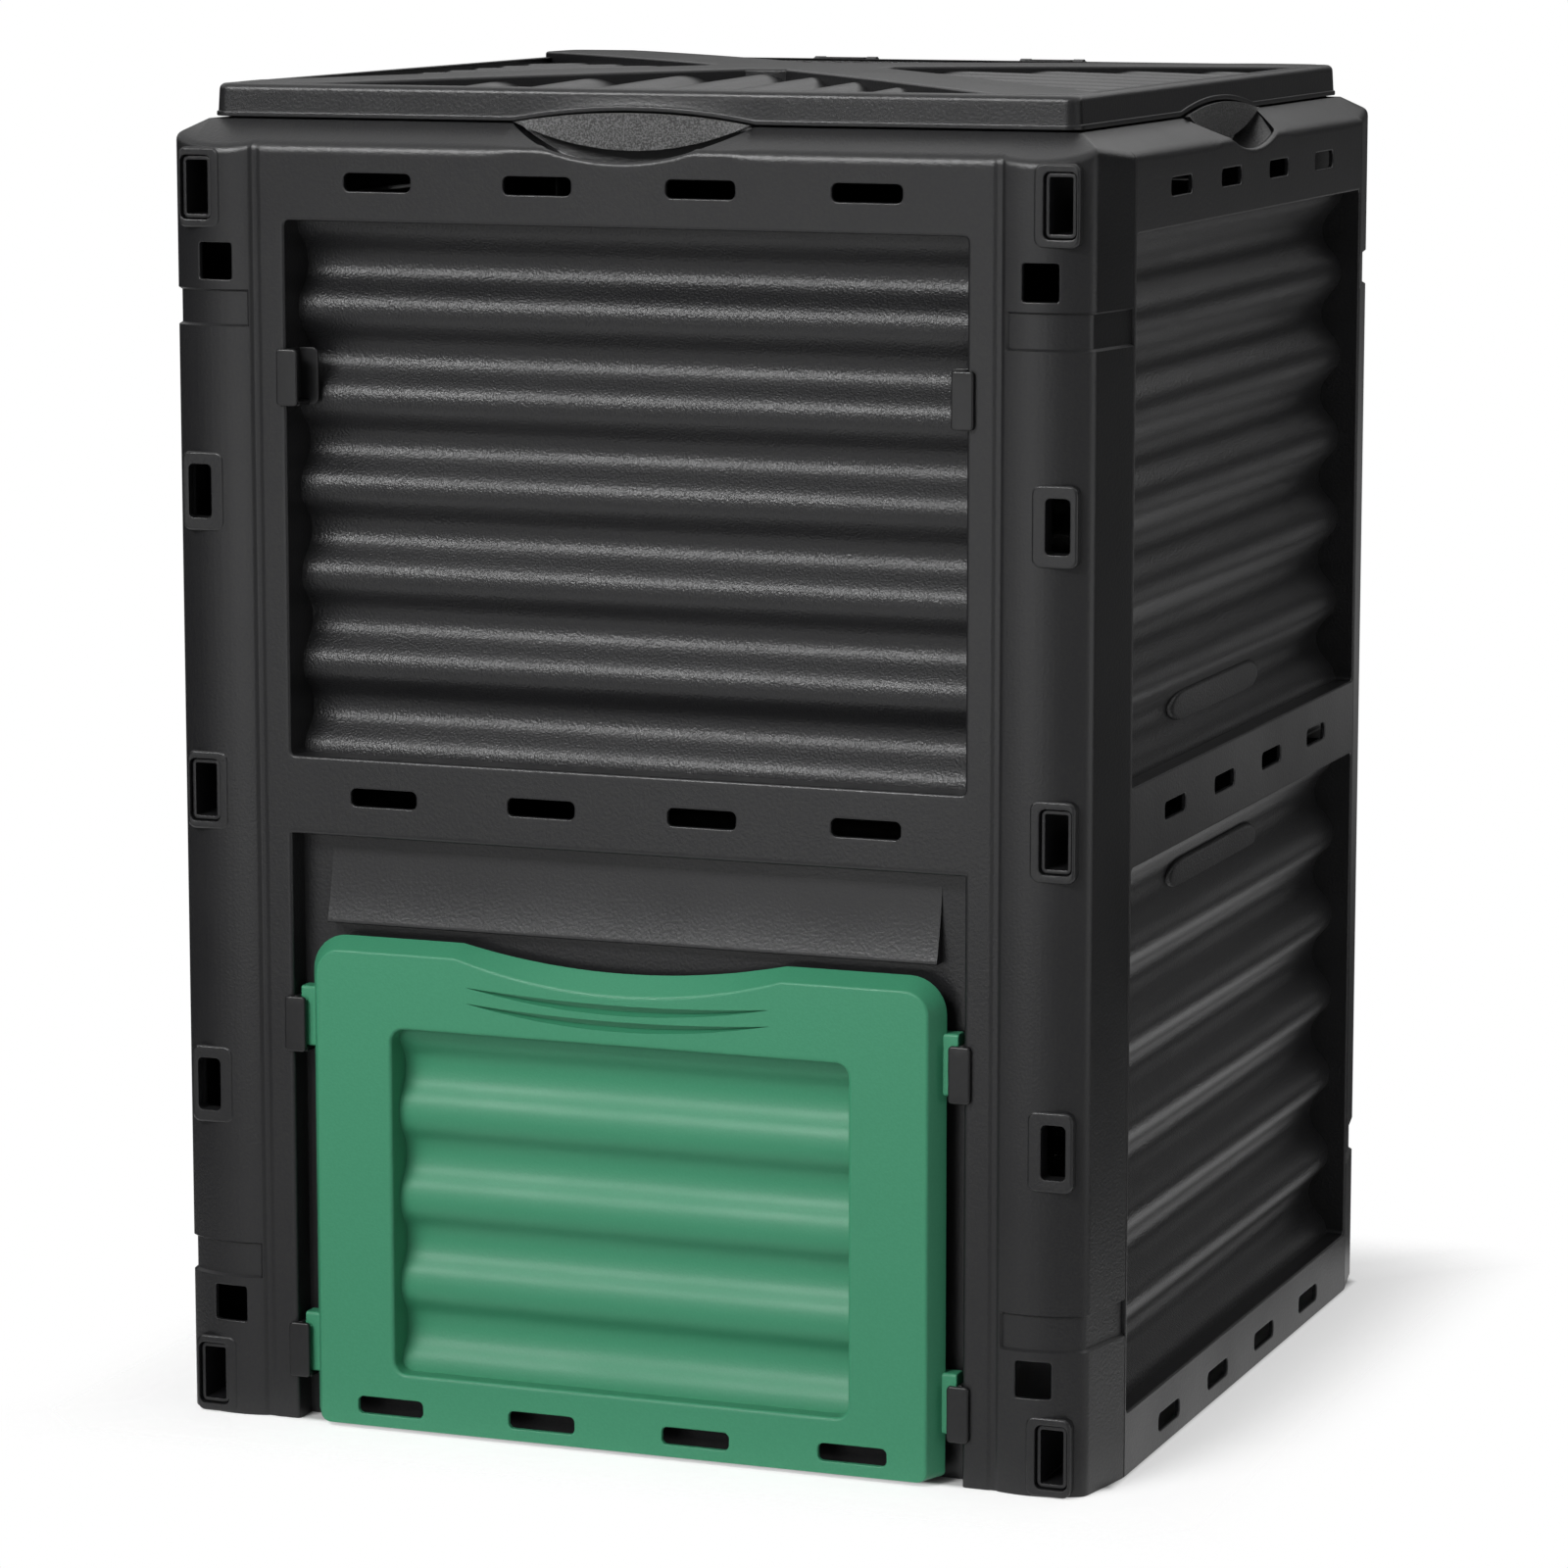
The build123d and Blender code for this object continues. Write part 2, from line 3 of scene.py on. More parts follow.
import bmesh
import bpy
import mathutils
import numpy as np
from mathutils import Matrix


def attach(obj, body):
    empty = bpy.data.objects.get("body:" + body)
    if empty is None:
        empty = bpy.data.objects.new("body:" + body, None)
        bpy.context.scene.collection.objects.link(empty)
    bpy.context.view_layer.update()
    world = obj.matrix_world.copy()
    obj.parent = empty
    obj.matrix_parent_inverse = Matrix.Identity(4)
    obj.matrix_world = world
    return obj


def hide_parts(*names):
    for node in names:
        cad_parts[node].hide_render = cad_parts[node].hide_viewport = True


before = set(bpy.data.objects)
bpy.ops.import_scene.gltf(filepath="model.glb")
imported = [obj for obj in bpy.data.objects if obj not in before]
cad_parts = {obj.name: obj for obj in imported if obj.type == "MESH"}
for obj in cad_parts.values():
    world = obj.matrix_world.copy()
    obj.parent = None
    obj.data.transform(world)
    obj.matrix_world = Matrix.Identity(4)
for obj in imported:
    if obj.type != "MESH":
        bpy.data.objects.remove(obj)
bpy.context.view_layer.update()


# The front wall: one injection moulding of black polypropylene, about 3 mm thick, with a corner
# column at each side, a wave panel set back in its upper half and the recess of the door below.
# All sizes are in millimetres. A wall is drawn facing the front, and turned to its own side after.

per_metre = 1000.0  # millimetres
wall = 3.0  # thickness of the mouldings


def linear(code):
    """An sRGB hex colour as the linear values that a shader takes, by the sRGB curve."""
    srgb = np.array([int(code[k:k + 2], 16) for k in (1, 3, 5)]) / 255
    return (*np.where(srgb <= 0.04045, srgb / 12.92, ((srgb + 0.055) / 1.055) ** 2.4), 1.0)


def add(tree, kind, inputs, **settings):
    """Adds a node, sets its options, and sets each input that is named, or links it to a node."""
    node = tree.nodes.new("ShaderNode" + kind)
    for name, value in settings.items():
        setattr(node, name, value)
    for name, value in inputs.items():
        if isinstance(value, bpy.types.Node):
            value = next(socket for socket in value.outputs if socket.enabled)
        if isinstance(value, bpy.types.NodeSocket):
            tree.links.new(value, node.inputs[name])
        else:
            node.inputs[name].default_value = value
    return node


def blank_material(name):
    """A new material whose node tree is empty."""
    material = bpy.data.materials.new(name)
    material.use_nodes = True
    material.node_tree.nodes.clear()
    return material


def grained_plastic(name, colour, speckle, gloss, grain, pit):
    """Moulded plastic with a spark-eroded grain, whose pits scatter the highlights into speckles.

    A noise as wide as the grain gives the pits: it tints the colour towards the speckle, and lowers
    the surface by a pit's depth. Clouds a hand wide, left by the flowing melt, vary the roughness.
    """
    cloud = 90.0
    smoothest, roughest = gloss - 0.03, gloss + 0.04
    reflection = 0.42
    material = blank_material(name)
    tree = material.node_tree
    spot = add(tree, "TexCoord", {}).outputs["Object"]
    pits = add(tree, "TexNoise", {"Vector": spot, "Scale": per_metre / grain, "Detail": 2.0})
    clouds = add(tree, "TexNoise", {"Vector": spot, "Scale": per_metre / cloud, "Detail": 3.0})
    share = add(tree, "MapRange", {"Value": pits, "From Min": 0.4, "From Max": 0.65})
    tint = {"Factor": share, "A": linear(colour), "B": linear(speckle)}
    tint = add(tree, "Mix", tint, data_type="RGBA")
    sheen = add(tree, "MapRange", {"Value": clouds, "From Min": 0.3, "From Max": 0.7,
                                   "To Min": smoothest, "To Max": roughest})
    bump = add(tree, "Bump", {"Height": pits, "Distance": pit / per_metre})
    shader = add(tree, "BsdfPrincipled", {"Base Color": tint, "Roughness": sheen,
                                          "Specular IOR Level": reflection, "Normal": bump})
    add(tree, "OutputMaterial", {"Surface": shader})
    return material


# Polypropylene from an eroded tool is a satin black: broad, dull highlights and no clear reflections.
# The real grain, about 0.3 mm wide, is too fine to show in the render. Here and in the other
# mouldings it is drawn 1 to 3 mm wide.
black_plastic = grained_plastic("black_polypropylene", "#18181a", "#1d1d1d", 0.35, 1.8, 0.17)


def weld(name, patches, material, body, nodes):
    """One mesh of several grids of points, joined where their edges meet, with smooth normals.

    A patch is a grid of points in rows and columns, and a mask of its cells to keep or None for all.
    """
    meeting = 5e-6
    sharp = math.radians(38.0)
    points, faces, count = [], [], 0
    for grid, keep in patches:
        index = count + np.arange(grid.shape[0] * grid.shape[1]).reshape(grid.shape[:2])
        quads = np.stack([index[:-1, :-1], index[1:, :-1], index[1:, 1:], index[:-1, 1:]], axis=-1)
        faces.append(quads.reshape(-1, 4) if keep is None else quads[keep])
        points.append(grid.reshape(-1, 3) / per_metre)
        count += index.size
    mesh = bpy.data.meshes.new(name)
    mesh.from_pydata(np.concatenate(points).tolist(), [], np.concatenate(faces).tolist())
    shape = bmesh.new()
    shape.from_mesh(mesh)
    bmesh.ops.remove_doubles(shape, verts=shape.verts, dist=meeting)
    bmesh.ops.recalc_face_normals(shape, faces=shape.faces)
    shape.to_mesh(mesh)
    shape.free()
    mesh.shade_smooth()
    mesh.set_sharp_from_angle(angle=sharp)
    mesh.materials.append(material)
    piece = bpy.data.objects.new(name, mesh)
    bpy.context.scene.collection.objects.link(piece)
    even = piece.modifiers.new("even_normals", "WEIGHTED_NORMAL")
    even.keep_sharp = True
    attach(piece, body)
    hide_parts(*nodes)


def turned(patches, degrees):
    """The same patches, turned about the upright axis by quarter turns."""
    cos, sin = round(math.cos(math.radians(degrees))), round(math.sin(math.radians(degrees)))
    turn = np.array([[cos, -sin, 0], [sin, cos, 0], [0, 0, 1]])
    return [(grid @ turn.T, keep) for grid, keep in patches]


def loop(half_a, half_b, corner):
    """A rounded rectangle as a closed line of points: a quarter circle at each of its corners."""
    angle = np.linspace(0, np.pi / 2, 6)
    turns = np.array([[1, 1], [-1, 1], [-1, -1], [1, -1]])
    arc = np.stack([np.cos(angle), np.sin(angle)], axis=-1) * corner
    arcs = [(arc if k % 2 == 0 else arc[::-1]) * t + t * np.array([half_a - corner, half_b - corner])
            for k, t in enumerate(turns)]
    line = np.concatenate(arcs)
    return np.concatenate([line, line[:1]])


def rings(origin, across, up, axis, rows):
    """Rounded rectangles carried along an axis: each row gives half sizes, corner and place."""
    across, up, axis = np.array(across), np.array(up), np.array(axis)
    carried = []
    for half_a, half_b, corner, along in rows:
        line = loop(half_a, half_b, corner)
        carried.append(np.array(origin) + line[:, :1] * across + line[:, 1:] * up + along * axis)
    return np.stack(carried), None


def wave(run, pitch, depth, flank):
    """Depth of a wavy sheet: straight flanks between round crests and troughs, a crest at zero.

    Crests and troughs are circular arcs that touch the flanks, whose slope is given in degrees.
    """
    flank = math.radians(flank)
    slope = math.tan(flank)
    over = (pitch / 2 * slope - depth) / 2
    radius = over / (1 / math.cos(flank) - 1)
    reach = radius * math.sin(flank)
    off_crest = np.abs((run / pitch + 0.5) % 1 - 0.5) * pitch
    off_trough = pitch / 2 - off_crest
    crest = radius - np.sqrt(np.maximum(radius ** 2 - off_crest ** 2, 0))
    trough = depth - radius + np.sqrt(np.maximum(radius ** 2 - off_trough ** 2, 0))
    straight = off_crest * slope - over
    return np.where(off_crest < reach, crest, np.where(off_trough < reach, trough, straight))


face = -305.0  # Y of a frame's flat outer face
crease_x = 241.0  # where the flat frame meets the round column
column_crown = np.array([268.5, -308.0])
column_corner = np.array([296.0, -298.0])
column_seam = np.array([305.0, -250.0])


def corner_plan():
    """Plan of a wall with columns: flat middle, bulged column, rounded corner, return to the seam.

    The column is a circular arc through crease, crown and corner, and a running mean rounds the
    corner. The plan gives the run along the face, and the face's X, Y and inward direction there.
    """
    step, mean_of, spare = 0.25, 33, 30
    start = np.array([crease_x, face])
    sides = 2 * np.array([column_crown - start, column_corner - start])
    centre = np.linalg.solve(sides, [column_crown @ column_crown - start @ start,
                                     column_corner @ column_corner - start @ start])
    radius = np.linalg.norm(start - centre)
    angles = [math.atan2(p[0] - centre[0], centre[1] - p[1]) for p in (start, column_corner)]
    arc_length = radius * (angles[1] - angles[0])
    back = column_seam - column_corner
    back_length = np.linalg.norm(back)
    end = crease_x + arc_length + back_length
    run = np.arange(0, end + spare, step)
    angle = angles[0] + (run - crease_x) / radius
    on = np.clip((run - crease_x - arc_length) / back_length, 0, None)
    arc = centre[0] + radius * np.sin(angle), centre[1] - radius * np.cos(angle)
    flat = run, np.full_like(run, face)
    sharp = [np.where(run < crease_x, flat[k],
                      np.where(on > 0, column_corner[k] + on * back[k], arc[k])) for k in (0, 1)]
    soft = [np.convolve(v, np.ones(mean_of) / mean_of, "same") for v in sharp]
    rounded = (run > crease_x + 9) & (run < run[-1] - 10)
    x, y = [np.where(rounded, soft[k], sharp[k])[run <= end] for k in (0, 1)]
    run = run[run <= end]
    run = np.concatenate([-run[:0:-1], run])
    x = np.concatenate([-x[:0:-1], x])
    y = np.concatenate([y[:0:-1], y])
    along = np.stack([np.gradient(x), np.gradient(y)])
    along /= np.linalg.norm(along, axis=0)
    return run, x, y, -along[1], along[0]


def lines(*groups):
    """Grid lines in rising order, each once."""
    return np.unique(np.round(np.concatenate([np.ravel(g) for g in groups]), 4))


def both(values):
    """Lines on the right, mirrored to the left too."""
    values = np.ravel(values)
    return np.concatenate([-values, values])


def around(centres, offsets):
    """Lines at some distances to both sides of several middles."""
    return np.add.outer(np.ravel(centres), both(offsets)).ravel()


def roll(distance, radius):
    """How far a rounded edge falls back, as a quarter circle, at a distance from what it borders."""
    u = np.clip(radius - distance, 0, radius)
    return radius - np.sqrt(radius ** 2 - u ** 2)


def border(grid):
    """The outer edge of a grid of points, as a closed line."""
    return np.concatenate([grid[:-1, 0], grid[-1, :-1], grid[:0:-1, -1], grid[0, ::-1]])


def grid_of(x, y, z):
    """A grid of points from their coordinates, each given for all, a row, a column or a cell."""
    return np.stack(np.broadcast_arrays(x, y, z), axis=-1)


def pierced(outer, inner, s, z, level, ports, place):
    """Two skins with openings through both, and the walls of the openings between them.

    Each port gives its middle, half sizes, corner, margin, edge radius and the depth of its box,
    where one stands behind it. Its cells are left out, and rounded rectangles lead from the edge of
    that gap to the opening and on to the inner skin.
    """
    slack = 0.01
    keep = np.ones((outer.shape[0] - 1, outer.shape[1] - 1), bool)
    patches = []
    for mid_s, mid_z, half_s, half_z, corner, margin, radius, box in ports:
        half = np.array([half_s, half_z])
        ends = np.array([-1, 1]) * (half[:, None] + margin + slack)
        i0, i1 = np.searchsorted(s, mid_s + ends[0]) - [0, 1]
        j0, j1 = np.searchsorted(z, mid_z + ends[1]) - [0, 1]
        keep[i0:i1, j0:j1] = False
        i, j = [border(index) for index in np.mgrid[i0:i1 + 1, j0:j1 + 1]]
        gap = np.stack([s[i] - mid_s, z[j] - mid_z], axis=1)
        beyond = np.maximum(np.abs(gap) - (half - corner), 0)
        beyond /= np.linalg.norm(beyond, axis=1)[:, None]
        straight = np.minimum(np.abs(gap), half - corner)
        front = np.median(level[i, j])

        def opening(grow, depth):
            edge = np.sign(gap) * (straight + (corner + grow) * beyond)
            return place(mid_s + edge[:, 0], mid_z + edge[:, 1], front + depth)

        quarter = np.linspace(math.pi / 2, 0, 5)
        steps = [(radius * (1 - math.cos(t)), radius * (1 - math.sin(t))) for t in quarter]
        steps += [(0, box), (wall, box), (wall, wall)] if box else [(0, wall)]
        walls = [opening(*step) for step in steps] if radius else []
        patches.append((np.stack([outer[i, j]] + walls + [inner[i, j]]), None))
    return [(outer, keep), (inner, keep)] + patches


seat = 811.0  # ledge that carries the lid
ledge_half = 281.0  # its outer edge, at the top of the sloping shoulder
shoulder_drop, shoulder_run = 14, 24
lip_half, lip_top = 268, 817.5  # upright lip inside the lid
scoop_half, scoop_low, scoop_radius = 78.0, 790, 155.36
crown_edge, scoop_crown_edge, column_crown_edge = 5.0, 3.0, 4.0
below_crown = 785.0  # height at which the crown takes the wall's plan
ledge_reach = 1.4  # inner edge of the ledge, in runs of the shoulder
trench = [(4.6, 0.8), (6.0, 5.0), (31.0, 6.0), (32.6, 4.0)]  # behind a scoop: way back and drop
trench_span = 12  # height over which the trench runs out at its ends


def scoop_edge(s):
    """Height of a scoop's edge: a circular arc in the top of the wall."""
    return scoop_low + scoop_radius - np.sqrt(scoop_radius ** 2 - np.minimum(s ** 2, scoop_half ** 2))


def moulded_wall(plan, s, z, depth, ports, scooped):
    """A wall as one closed sheet: an outer and an inner skin, with a sloped crown and a lip on top.

    The run s follows the plan and z goes up. depth(s, z) tells how far the outer face lies behind
    the plan. The crown's edge is a parabola that touches the face and the slope. A scoop is a
    circular arc in the top edge, with a trench behind it.
    """
    run, plan_x, plan_y, in_x, in_y = plan

    def place(s, z, d):
        x = np.interp(s, run, plan_x) + np.interp(s, run, in_x) * d
        y = np.interp(s, run, plan_y) + np.interp(s, run, in_y) * d
        return grid_of(x, y, z)

    level = depth(s[:, None], z[None, :])
    foot = place(s, 0, depth(s, np.full_like(s, below_crown)))[:, :2]
    ledge = np.clip(foot, -ledge_half, ledge_half)
    reach = np.linalg.norm(ledge - foot, axis=1)
    top = seat - shoulder_drop / shoulder_run * np.max(np.abs(foot) - ledge_half, axis=1)
    rise = seat - top
    arc = np.where((np.abs(s) < scoop_half) & scooped, scoop_edge(s), np.inf)
    rim = np.minimum(top, arc)
    near_scoop = scoop_crown_edge if scooped else crown_edge
    radius = np.interp(np.abs(s), [scoop_half - 8, scoop_half + 6, crease_x - 7, crease_x + 2],
                       [near_scoop, crown_edge, crown_edge, column_crown_edge])
    fillet = radius / reach
    sit_z = np.minimum(arc, seat)
    sit = np.where(arc < top, fillet, np.maximum((sit_z - top) / rise, fillet))
    fillet_z = np.where(arc < top, arc, top + rise * fillet)

    def crown(w, height):
        plan_point = foot + (ledge - foot) * np.broadcast_to(w, len(s))[:, None]
        return np.concatenate([plan_point, np.broadcast_to(height, len(s))[:, None]], axis=1)

    def square(half, height):
        return np.concatenate([np.clip(foot, -half, half), np.full((len(s), 1), height)], axis=1)

    last = rim - radius
    pairs = []
    for t in np.linspace(0, 1, 5):
        height = (1 - t) ** 2 * last + 2 * t * (1 - t) * rim + t ** 2 * fillet_z
        inset = t ** 2 * fillet
        pairs.append((crown(inset, height), crown(np.maximum(inset, wall / reach), height - wall)))
    pairs.append((crown(sit, sit_z), crown(sit, sit_z - wall)))
    for back, drop in trench:
        w = np.maximum(sit, back / shoulder_run)
        height = sit_z - drop * np.clip((seat - sit_z) / trench_span, 0, 1)
        pairs.append((crown(w, height), crown(w, height - wall)))
    pairs.append((crown(ledge_reach, seat), crown(ledge_reach, seat - wall)))
    for inset, height, drop in [(0, seat + 1, wall), (0, lip_top - 0.8, 0), (0.6, lip_top, 0)]:
        pairs.append((square(lip_half - inset, height), square(lip_half - wall + inset, height - drop)))
    face_z = np.minimum(z[None, :], last[:, None])
    outer = place(s[:, None], face_z, level)
    inner = place(s[:, None], np.minimum(face_z, last[:, None] - wall), level + wall)
    outer = np.concatenate([outer] + [p[0][:, None] for p in pairs], axis=1)
    inner = np.concatenate([inner] + [p[1][:, None] for p in pairs], axis=1)
    edges = np.stack([border(outer), border(inner)])
    return pierced(outer, inner, s, z, level, ports, place) + [(edges, None)]


vent_rows = [16.0, 398.0, 775.0]
vent_middles = [-157.5, -52.5, 52.5, 157.5]
vent_half_s, vent_half_z = 22.0, 5.5
vent_corner, vent_margin, vent_edge = 3.5, 2.0, 0.9


def vent_ports(middles, rows):
    """The air vents at these middles and heights."""
    return [(m, h, vent_half_s, vent_half_z, vent_corner, vent_margin, vent_edge, 0)
            for m in middles for h in rows]


def vent_lines(middles, half):
    """Grid lines for vents: at the start and near the end of their corners, and at their margins."""
    return around(middles, [half - vent_corner, half - 0.4 * vent_corner, half + vent_margin])


def window_port(half, low, high, corner, margin, edge, box):
    """A wide opening in the middle of a wall."""
    return (0, (low + high) / 2, half, (high - low) / 2, corner, margin, edge, box)


def box_depth(recess, depth, flank):
    """Depth of the box behind a window: back to where a wave sheet's troughs end, to 0.01 mm."""
    return round(recess + depth + wall / math.cos(math.radians(flank)), 2)


slot_heights = np.linspace(25.0, 770.2, 5)
square_heights = np.array([71.5, 725.5])
square_hole = (11.25, 11.25, 1.6, 2.0, 0.8, 0)  # half sizes, corner, margin, edge and box
band_heights = np.array([100.0, 697.0])
band_half, band_slope, band_depth = 10.0, 1.4, 2.2
crease_depth, crease_roll, crease_width = 0.6, 6.0, 2.0
seam_edge, foot_edge = 1.2, 1.0
plan = corner_plan()
seam_run = plan[0][-1]
corner_run = np.interp(column_corner[0], plan[1][plan[0] > 0], plan[0][plan[0] > 0])


def arc_run(x):
    """The run along the face at which a column has this X."""
    right = (plan[0] > 0) & (plan[1] <= column_corner[0] + 4)
    return np.interp(x, plan[1][right], plan[0][right])


square_run = arc_run(265.5)
lug_cut = (arc_run(275.7), 12.4, 20.5)  # gaps behind the pads: run, half width and half height
plain_cut = (arc_run(277.5), 8.4, 17.6)
slot_cuts = [lug_cut, plain_cut] * 2 + [lug_cut]
square_lines = [7.75, 9.2, 10.6, 13.25]  # across a corner, and at the margin
column_s = both(np.concatenate([
    crease_x + np.array([-6.1, -4.8, -3.6, -2.6, -1.8, -1.1, -0.6, 0, 0.8, 2.0, 3.0, 4.2]),
    np.arange(crease_x + 7, corner_run - 8, 3.5), np.arange(corner_run - 8, corner_run + 9, 1.0),
    seam_run - np.array([30, 15, seam_edge, 0.55, 0.15, 0.0]),
    around(square_run, square_lines),
    np.concatenate([[run - half_s, run + half_s] for run, half_s, half_z in slot_cuts]),
]))
column_z = lines(
    [0, 0.3, foot_edge], around(square_heights, square_lines),
    np.concatenate([[h - cut[2], h + cut[2]] for h, cut in zip(slot_heights, slot_cuts)]),
    around(band_heights, [band_half, band_half + band_slope]),
)


def column_depth(s, z):
    """Depth of the crease, the bands sunk into the columns and the edges at seam and ground.

    The frame rolls off to the crease, and the column rises from it over the crease's width. Bands
    have sloped sides, and the edges are quarter circles.
    """
    s = np.abs(s)
    rolled = np.minimum(roll(crease_x - s, crease_roll), crease_depth)
    rising = crease_depth * np.clip((crease_x + crease_width - s) / crease_width, 0, 1)
    off_band = np.min(np.abs(z[..., None] - band_heights), axis=-1)
    band = np.interp(off_band, [band_half, band_half + band_slope], [band_depth, 0.0])
    sunk = np.minimum(np.interp(s, [crease_x + 3, crease_x + 4.2], [0, band_depth]), band)
    edges = roll(seam_run - s, seam_edge), roll(z, foot_edge)
    return np.where(s < crease_x, rolled, rising) + sunk + edges[0] + edges[1]


def column_ports():
    """The square holes and the gaps behind the slots' pads, in both columns."""
    ports = []
    for side in (-1, 1):
        ports += [(side * square_run, h, *square_hole) for h in square_heights]
        ports += [(side * run, h, half_s - 1, half_z - 1, 0.5, 1.0, 0, 0)
                  for h, (run, half_s, half_z) in zip(slot_heights, slot_cuts)]
    return ports


x_axis, y_axis, z_axis = (1, 0, 0), (0, 1, 0), (0, 0, 1)


def pads():
    """The flat pads round the slots: rounded plates with a rounded hole, one closed ring each.

    The rows give half width, half height, corner and depth behind the pad's face.
    """
    pad_x, pad_y, hole_shift = 275.5, -309, 2.0
    pad_rows = [(14.25, 24.5, 5.5, 10), (14.25, 24.5, 5.5, 1.6), (13.95, 24.2, 5.2, 0.7),
                (13.2, 23.4, 4.8, 0.1), (12.6, 22.9, 4.4, 0)]
    lug_hole, plain_hole = (10.1, 19.6, 3.8), (7.5, 16.5, 3.0)
    hole_steps = [(0.9, 0), (0.25, 0.25), (0, 0.9), (0, 12)]
    outside = rings((0, 0, 0), x_axis, z_axis, y_axis, pad_rows)[0]
    patches = []
    for side in (-1, 1):
        for h, hole in zip(slot_heights, [lug_hole, plain_hole] * 2 + [lug_hole]):
            hole_rows = [(*np.add(hole, grow), depth) for grow, depth in hole_steps]
            inside = rings((hole_shift, 0, 0), x_axis, z_axis, y_axis, hole_rows)[0]
            ring = np.concatenate([outside, inside, outside[:1]])
            patches.append((ring * [side, 1, 1] + [side * pad_x, pad_y, h], None))
    return patches


window_half = 220.0
upper_window, lower_window = (422.0, 751.0), (40.0, 373.0)
window_corner, window_margin, window_edge = 3.0, 3.2, 2.0
front_waves = (19.5, 15, 44.0, 6, face)  # recess, depth, flank, count and face
window_steps = np.array([6, 3.5, 1])  # grid lines inside a window's edge
recess_depth, recess_edge = 17.6, 2.5
recess_steps = np.array([-0.001, 0.0, 0.2, 0.7, 1.5, recess_edge])
doorway = (192.0, 20.0, 292.0)  # half width, foot and top
doorway_style = (5.0, 2.2, 1.2, 0)  # corner, margin, edge and box
doorway_steps = np.array([5.0, 2.5, 0, -2.2])


def front_depth(s, z):
    """Depth of the front wall: the recess of the door, open to the ground, besides the columns."""
    inside = np.where(np.abs(s) < window_half, recess_depth, roll(np.abs(s) - window_half, recess_edge))
    below = np.where(z < lower_window[1], recess_depth, roll(z - lower_window[1], recess_edge))
    return np.minimum(inside, below) + column_depth(s, z)


def window_z(low, high):
    """Grid lines across a window's lower and upper edge."""
    inside = low + window_steps, high - window_steps
    return np.concatenate([around([low, high], [window_margin]), *inside])


window_s = both([*(window_half - window_steps), window_half + window_margin])
scoop_s = both(np.concatenate([np.linspace(0, 72, 17), [74, 76, 77.2, scoop_half, 80, 90, 110]]))
vent_s = vent_lines(vent_middles, vent_half_s)
front_s = lines(column_s, window_s, vent_s, scoop_s, both(window_half + recess_steps),
                both(doorway[0] - doorway_steps))
front_z = lines(column_z, window_z(*upper_window), vent_lines(vent_rows[1:], vent_half_z),
                lower_window[1] + recess_steps, doorway[1] + doorway_steps, doorway[2] - doorway_steps)
window_style = (window_corner, window_margin, window_edge, box_depth(*front_waves[:3]))
upper_port = window_port(window_half, *upper_window, *window_style)
front_ports = column_ports() + vent_ports(vent_middles, vent_rows[1:])
front_ports += [upper_port, window_port(*doorway, *doorway_style)]
front = moulded_wall(plan, front_s, front_z, front_depth, front_ports, True)
weld("front_wall", front + pads(), black_plastic, "shell", ["front_panel"])


# The wave panel of the front wall: part of the same moulding, a sheet of even thickness behind the
# window. Its tool is eroded deeper than the frame's, and its waves carry the highlights.

def wave_sheet(half, low, high, recess, depth, flank, count, front_y):
    """A wavy sheet of even thickness whose waves run across, set in behind a window."""
    overlap, lines_per_wave = 1.5, 18
    z = np.linspace(low - overlap, high + overlap, lines_per_wave * count + 1)
    front = front_y + recess + wave(z - low, (high - low) / count, depth, flank)
    back = front + wall / math.cos(math.radians(flank))
    x = half + overlap
    corners = [(-x, front), (x, front), (x, back), (-x, back), (-x, front)]
    grid = np.stack([np.stack([np.full_like(z, a), b, z], axis=1) for a, b in corners], axis=1)
    ends = [np.stack([grid[k, [0, 1]], grid[k, [3, 2]]]) for k in (0, -1)]
    return [(grid, None), (ends[0], None), (ends[1], None)]


# Deeper pits than the frame's break the broad highlights up into speckles.
rough_plastic = grained_plastic("rough_polypropylene", "#18181a", "#1e1e1e", 0.36, 1.5, 0.45)
upper_waves = wave_sheet(window_half, *upper_window, *front_waves)
weld("front_waves", upper_waves, rough_plastic, "shell", ["front_panel"])


# The grips behind the scoops of the front and the sides: lens-shaped strips of the same mouldings,
# which rise from the trench to the lid's rim. Fingers lift the lid there.
grip_half, grip_low, grip_bow = 76.5, 796.0, 16.2
grip_top, grip_crest = 811.9, 6.4
grip_y, grip_lean, grip_back_y = -284.4, 1.4, -281.2

# The coarse grain gives hold. Its pale speckle is partly that grain and partly painted highlight.
grip_plastic_painted_pale = grained_plastic("coarse_polypropylene_painted_pale", "#262626", "#5a5a5a", 0.55, 1.1, 0.3)
grip_s = np.linspace(-grip_half, grip_half, 62)[:, None]
grip_rise = np.linspace(0, 1, 9)
lower_edge = grip_low + grip_bow * (grip_s / grip_half) ** 2
upper_edge = grip_top + grip_crest * (1 - (grip_s / grip_half) ** 2)
grip_front = grid_of(grip_s, grip_y + grip_lean * grip_rise,
                     lower_edge + (upper_edge - lower_edge) * grip_rise)
grip_back = grip_front * [1, 0, 1] + [0, grip_back_y, 0]
grip_edges = np.stack([border(grip_front), border(grip_back)])
grip = [(grip_front, None), (grip_back, None), (grip_edges, None)]
for degrees, name in ((0, "front"), (90, "right"), (-90, "left")):
    patches, nodes = turned(grip, degrees), [name + "_panel"]
    weld(name + "_grip", patches, grip_plastic_painted_pale, "shell", nodes)


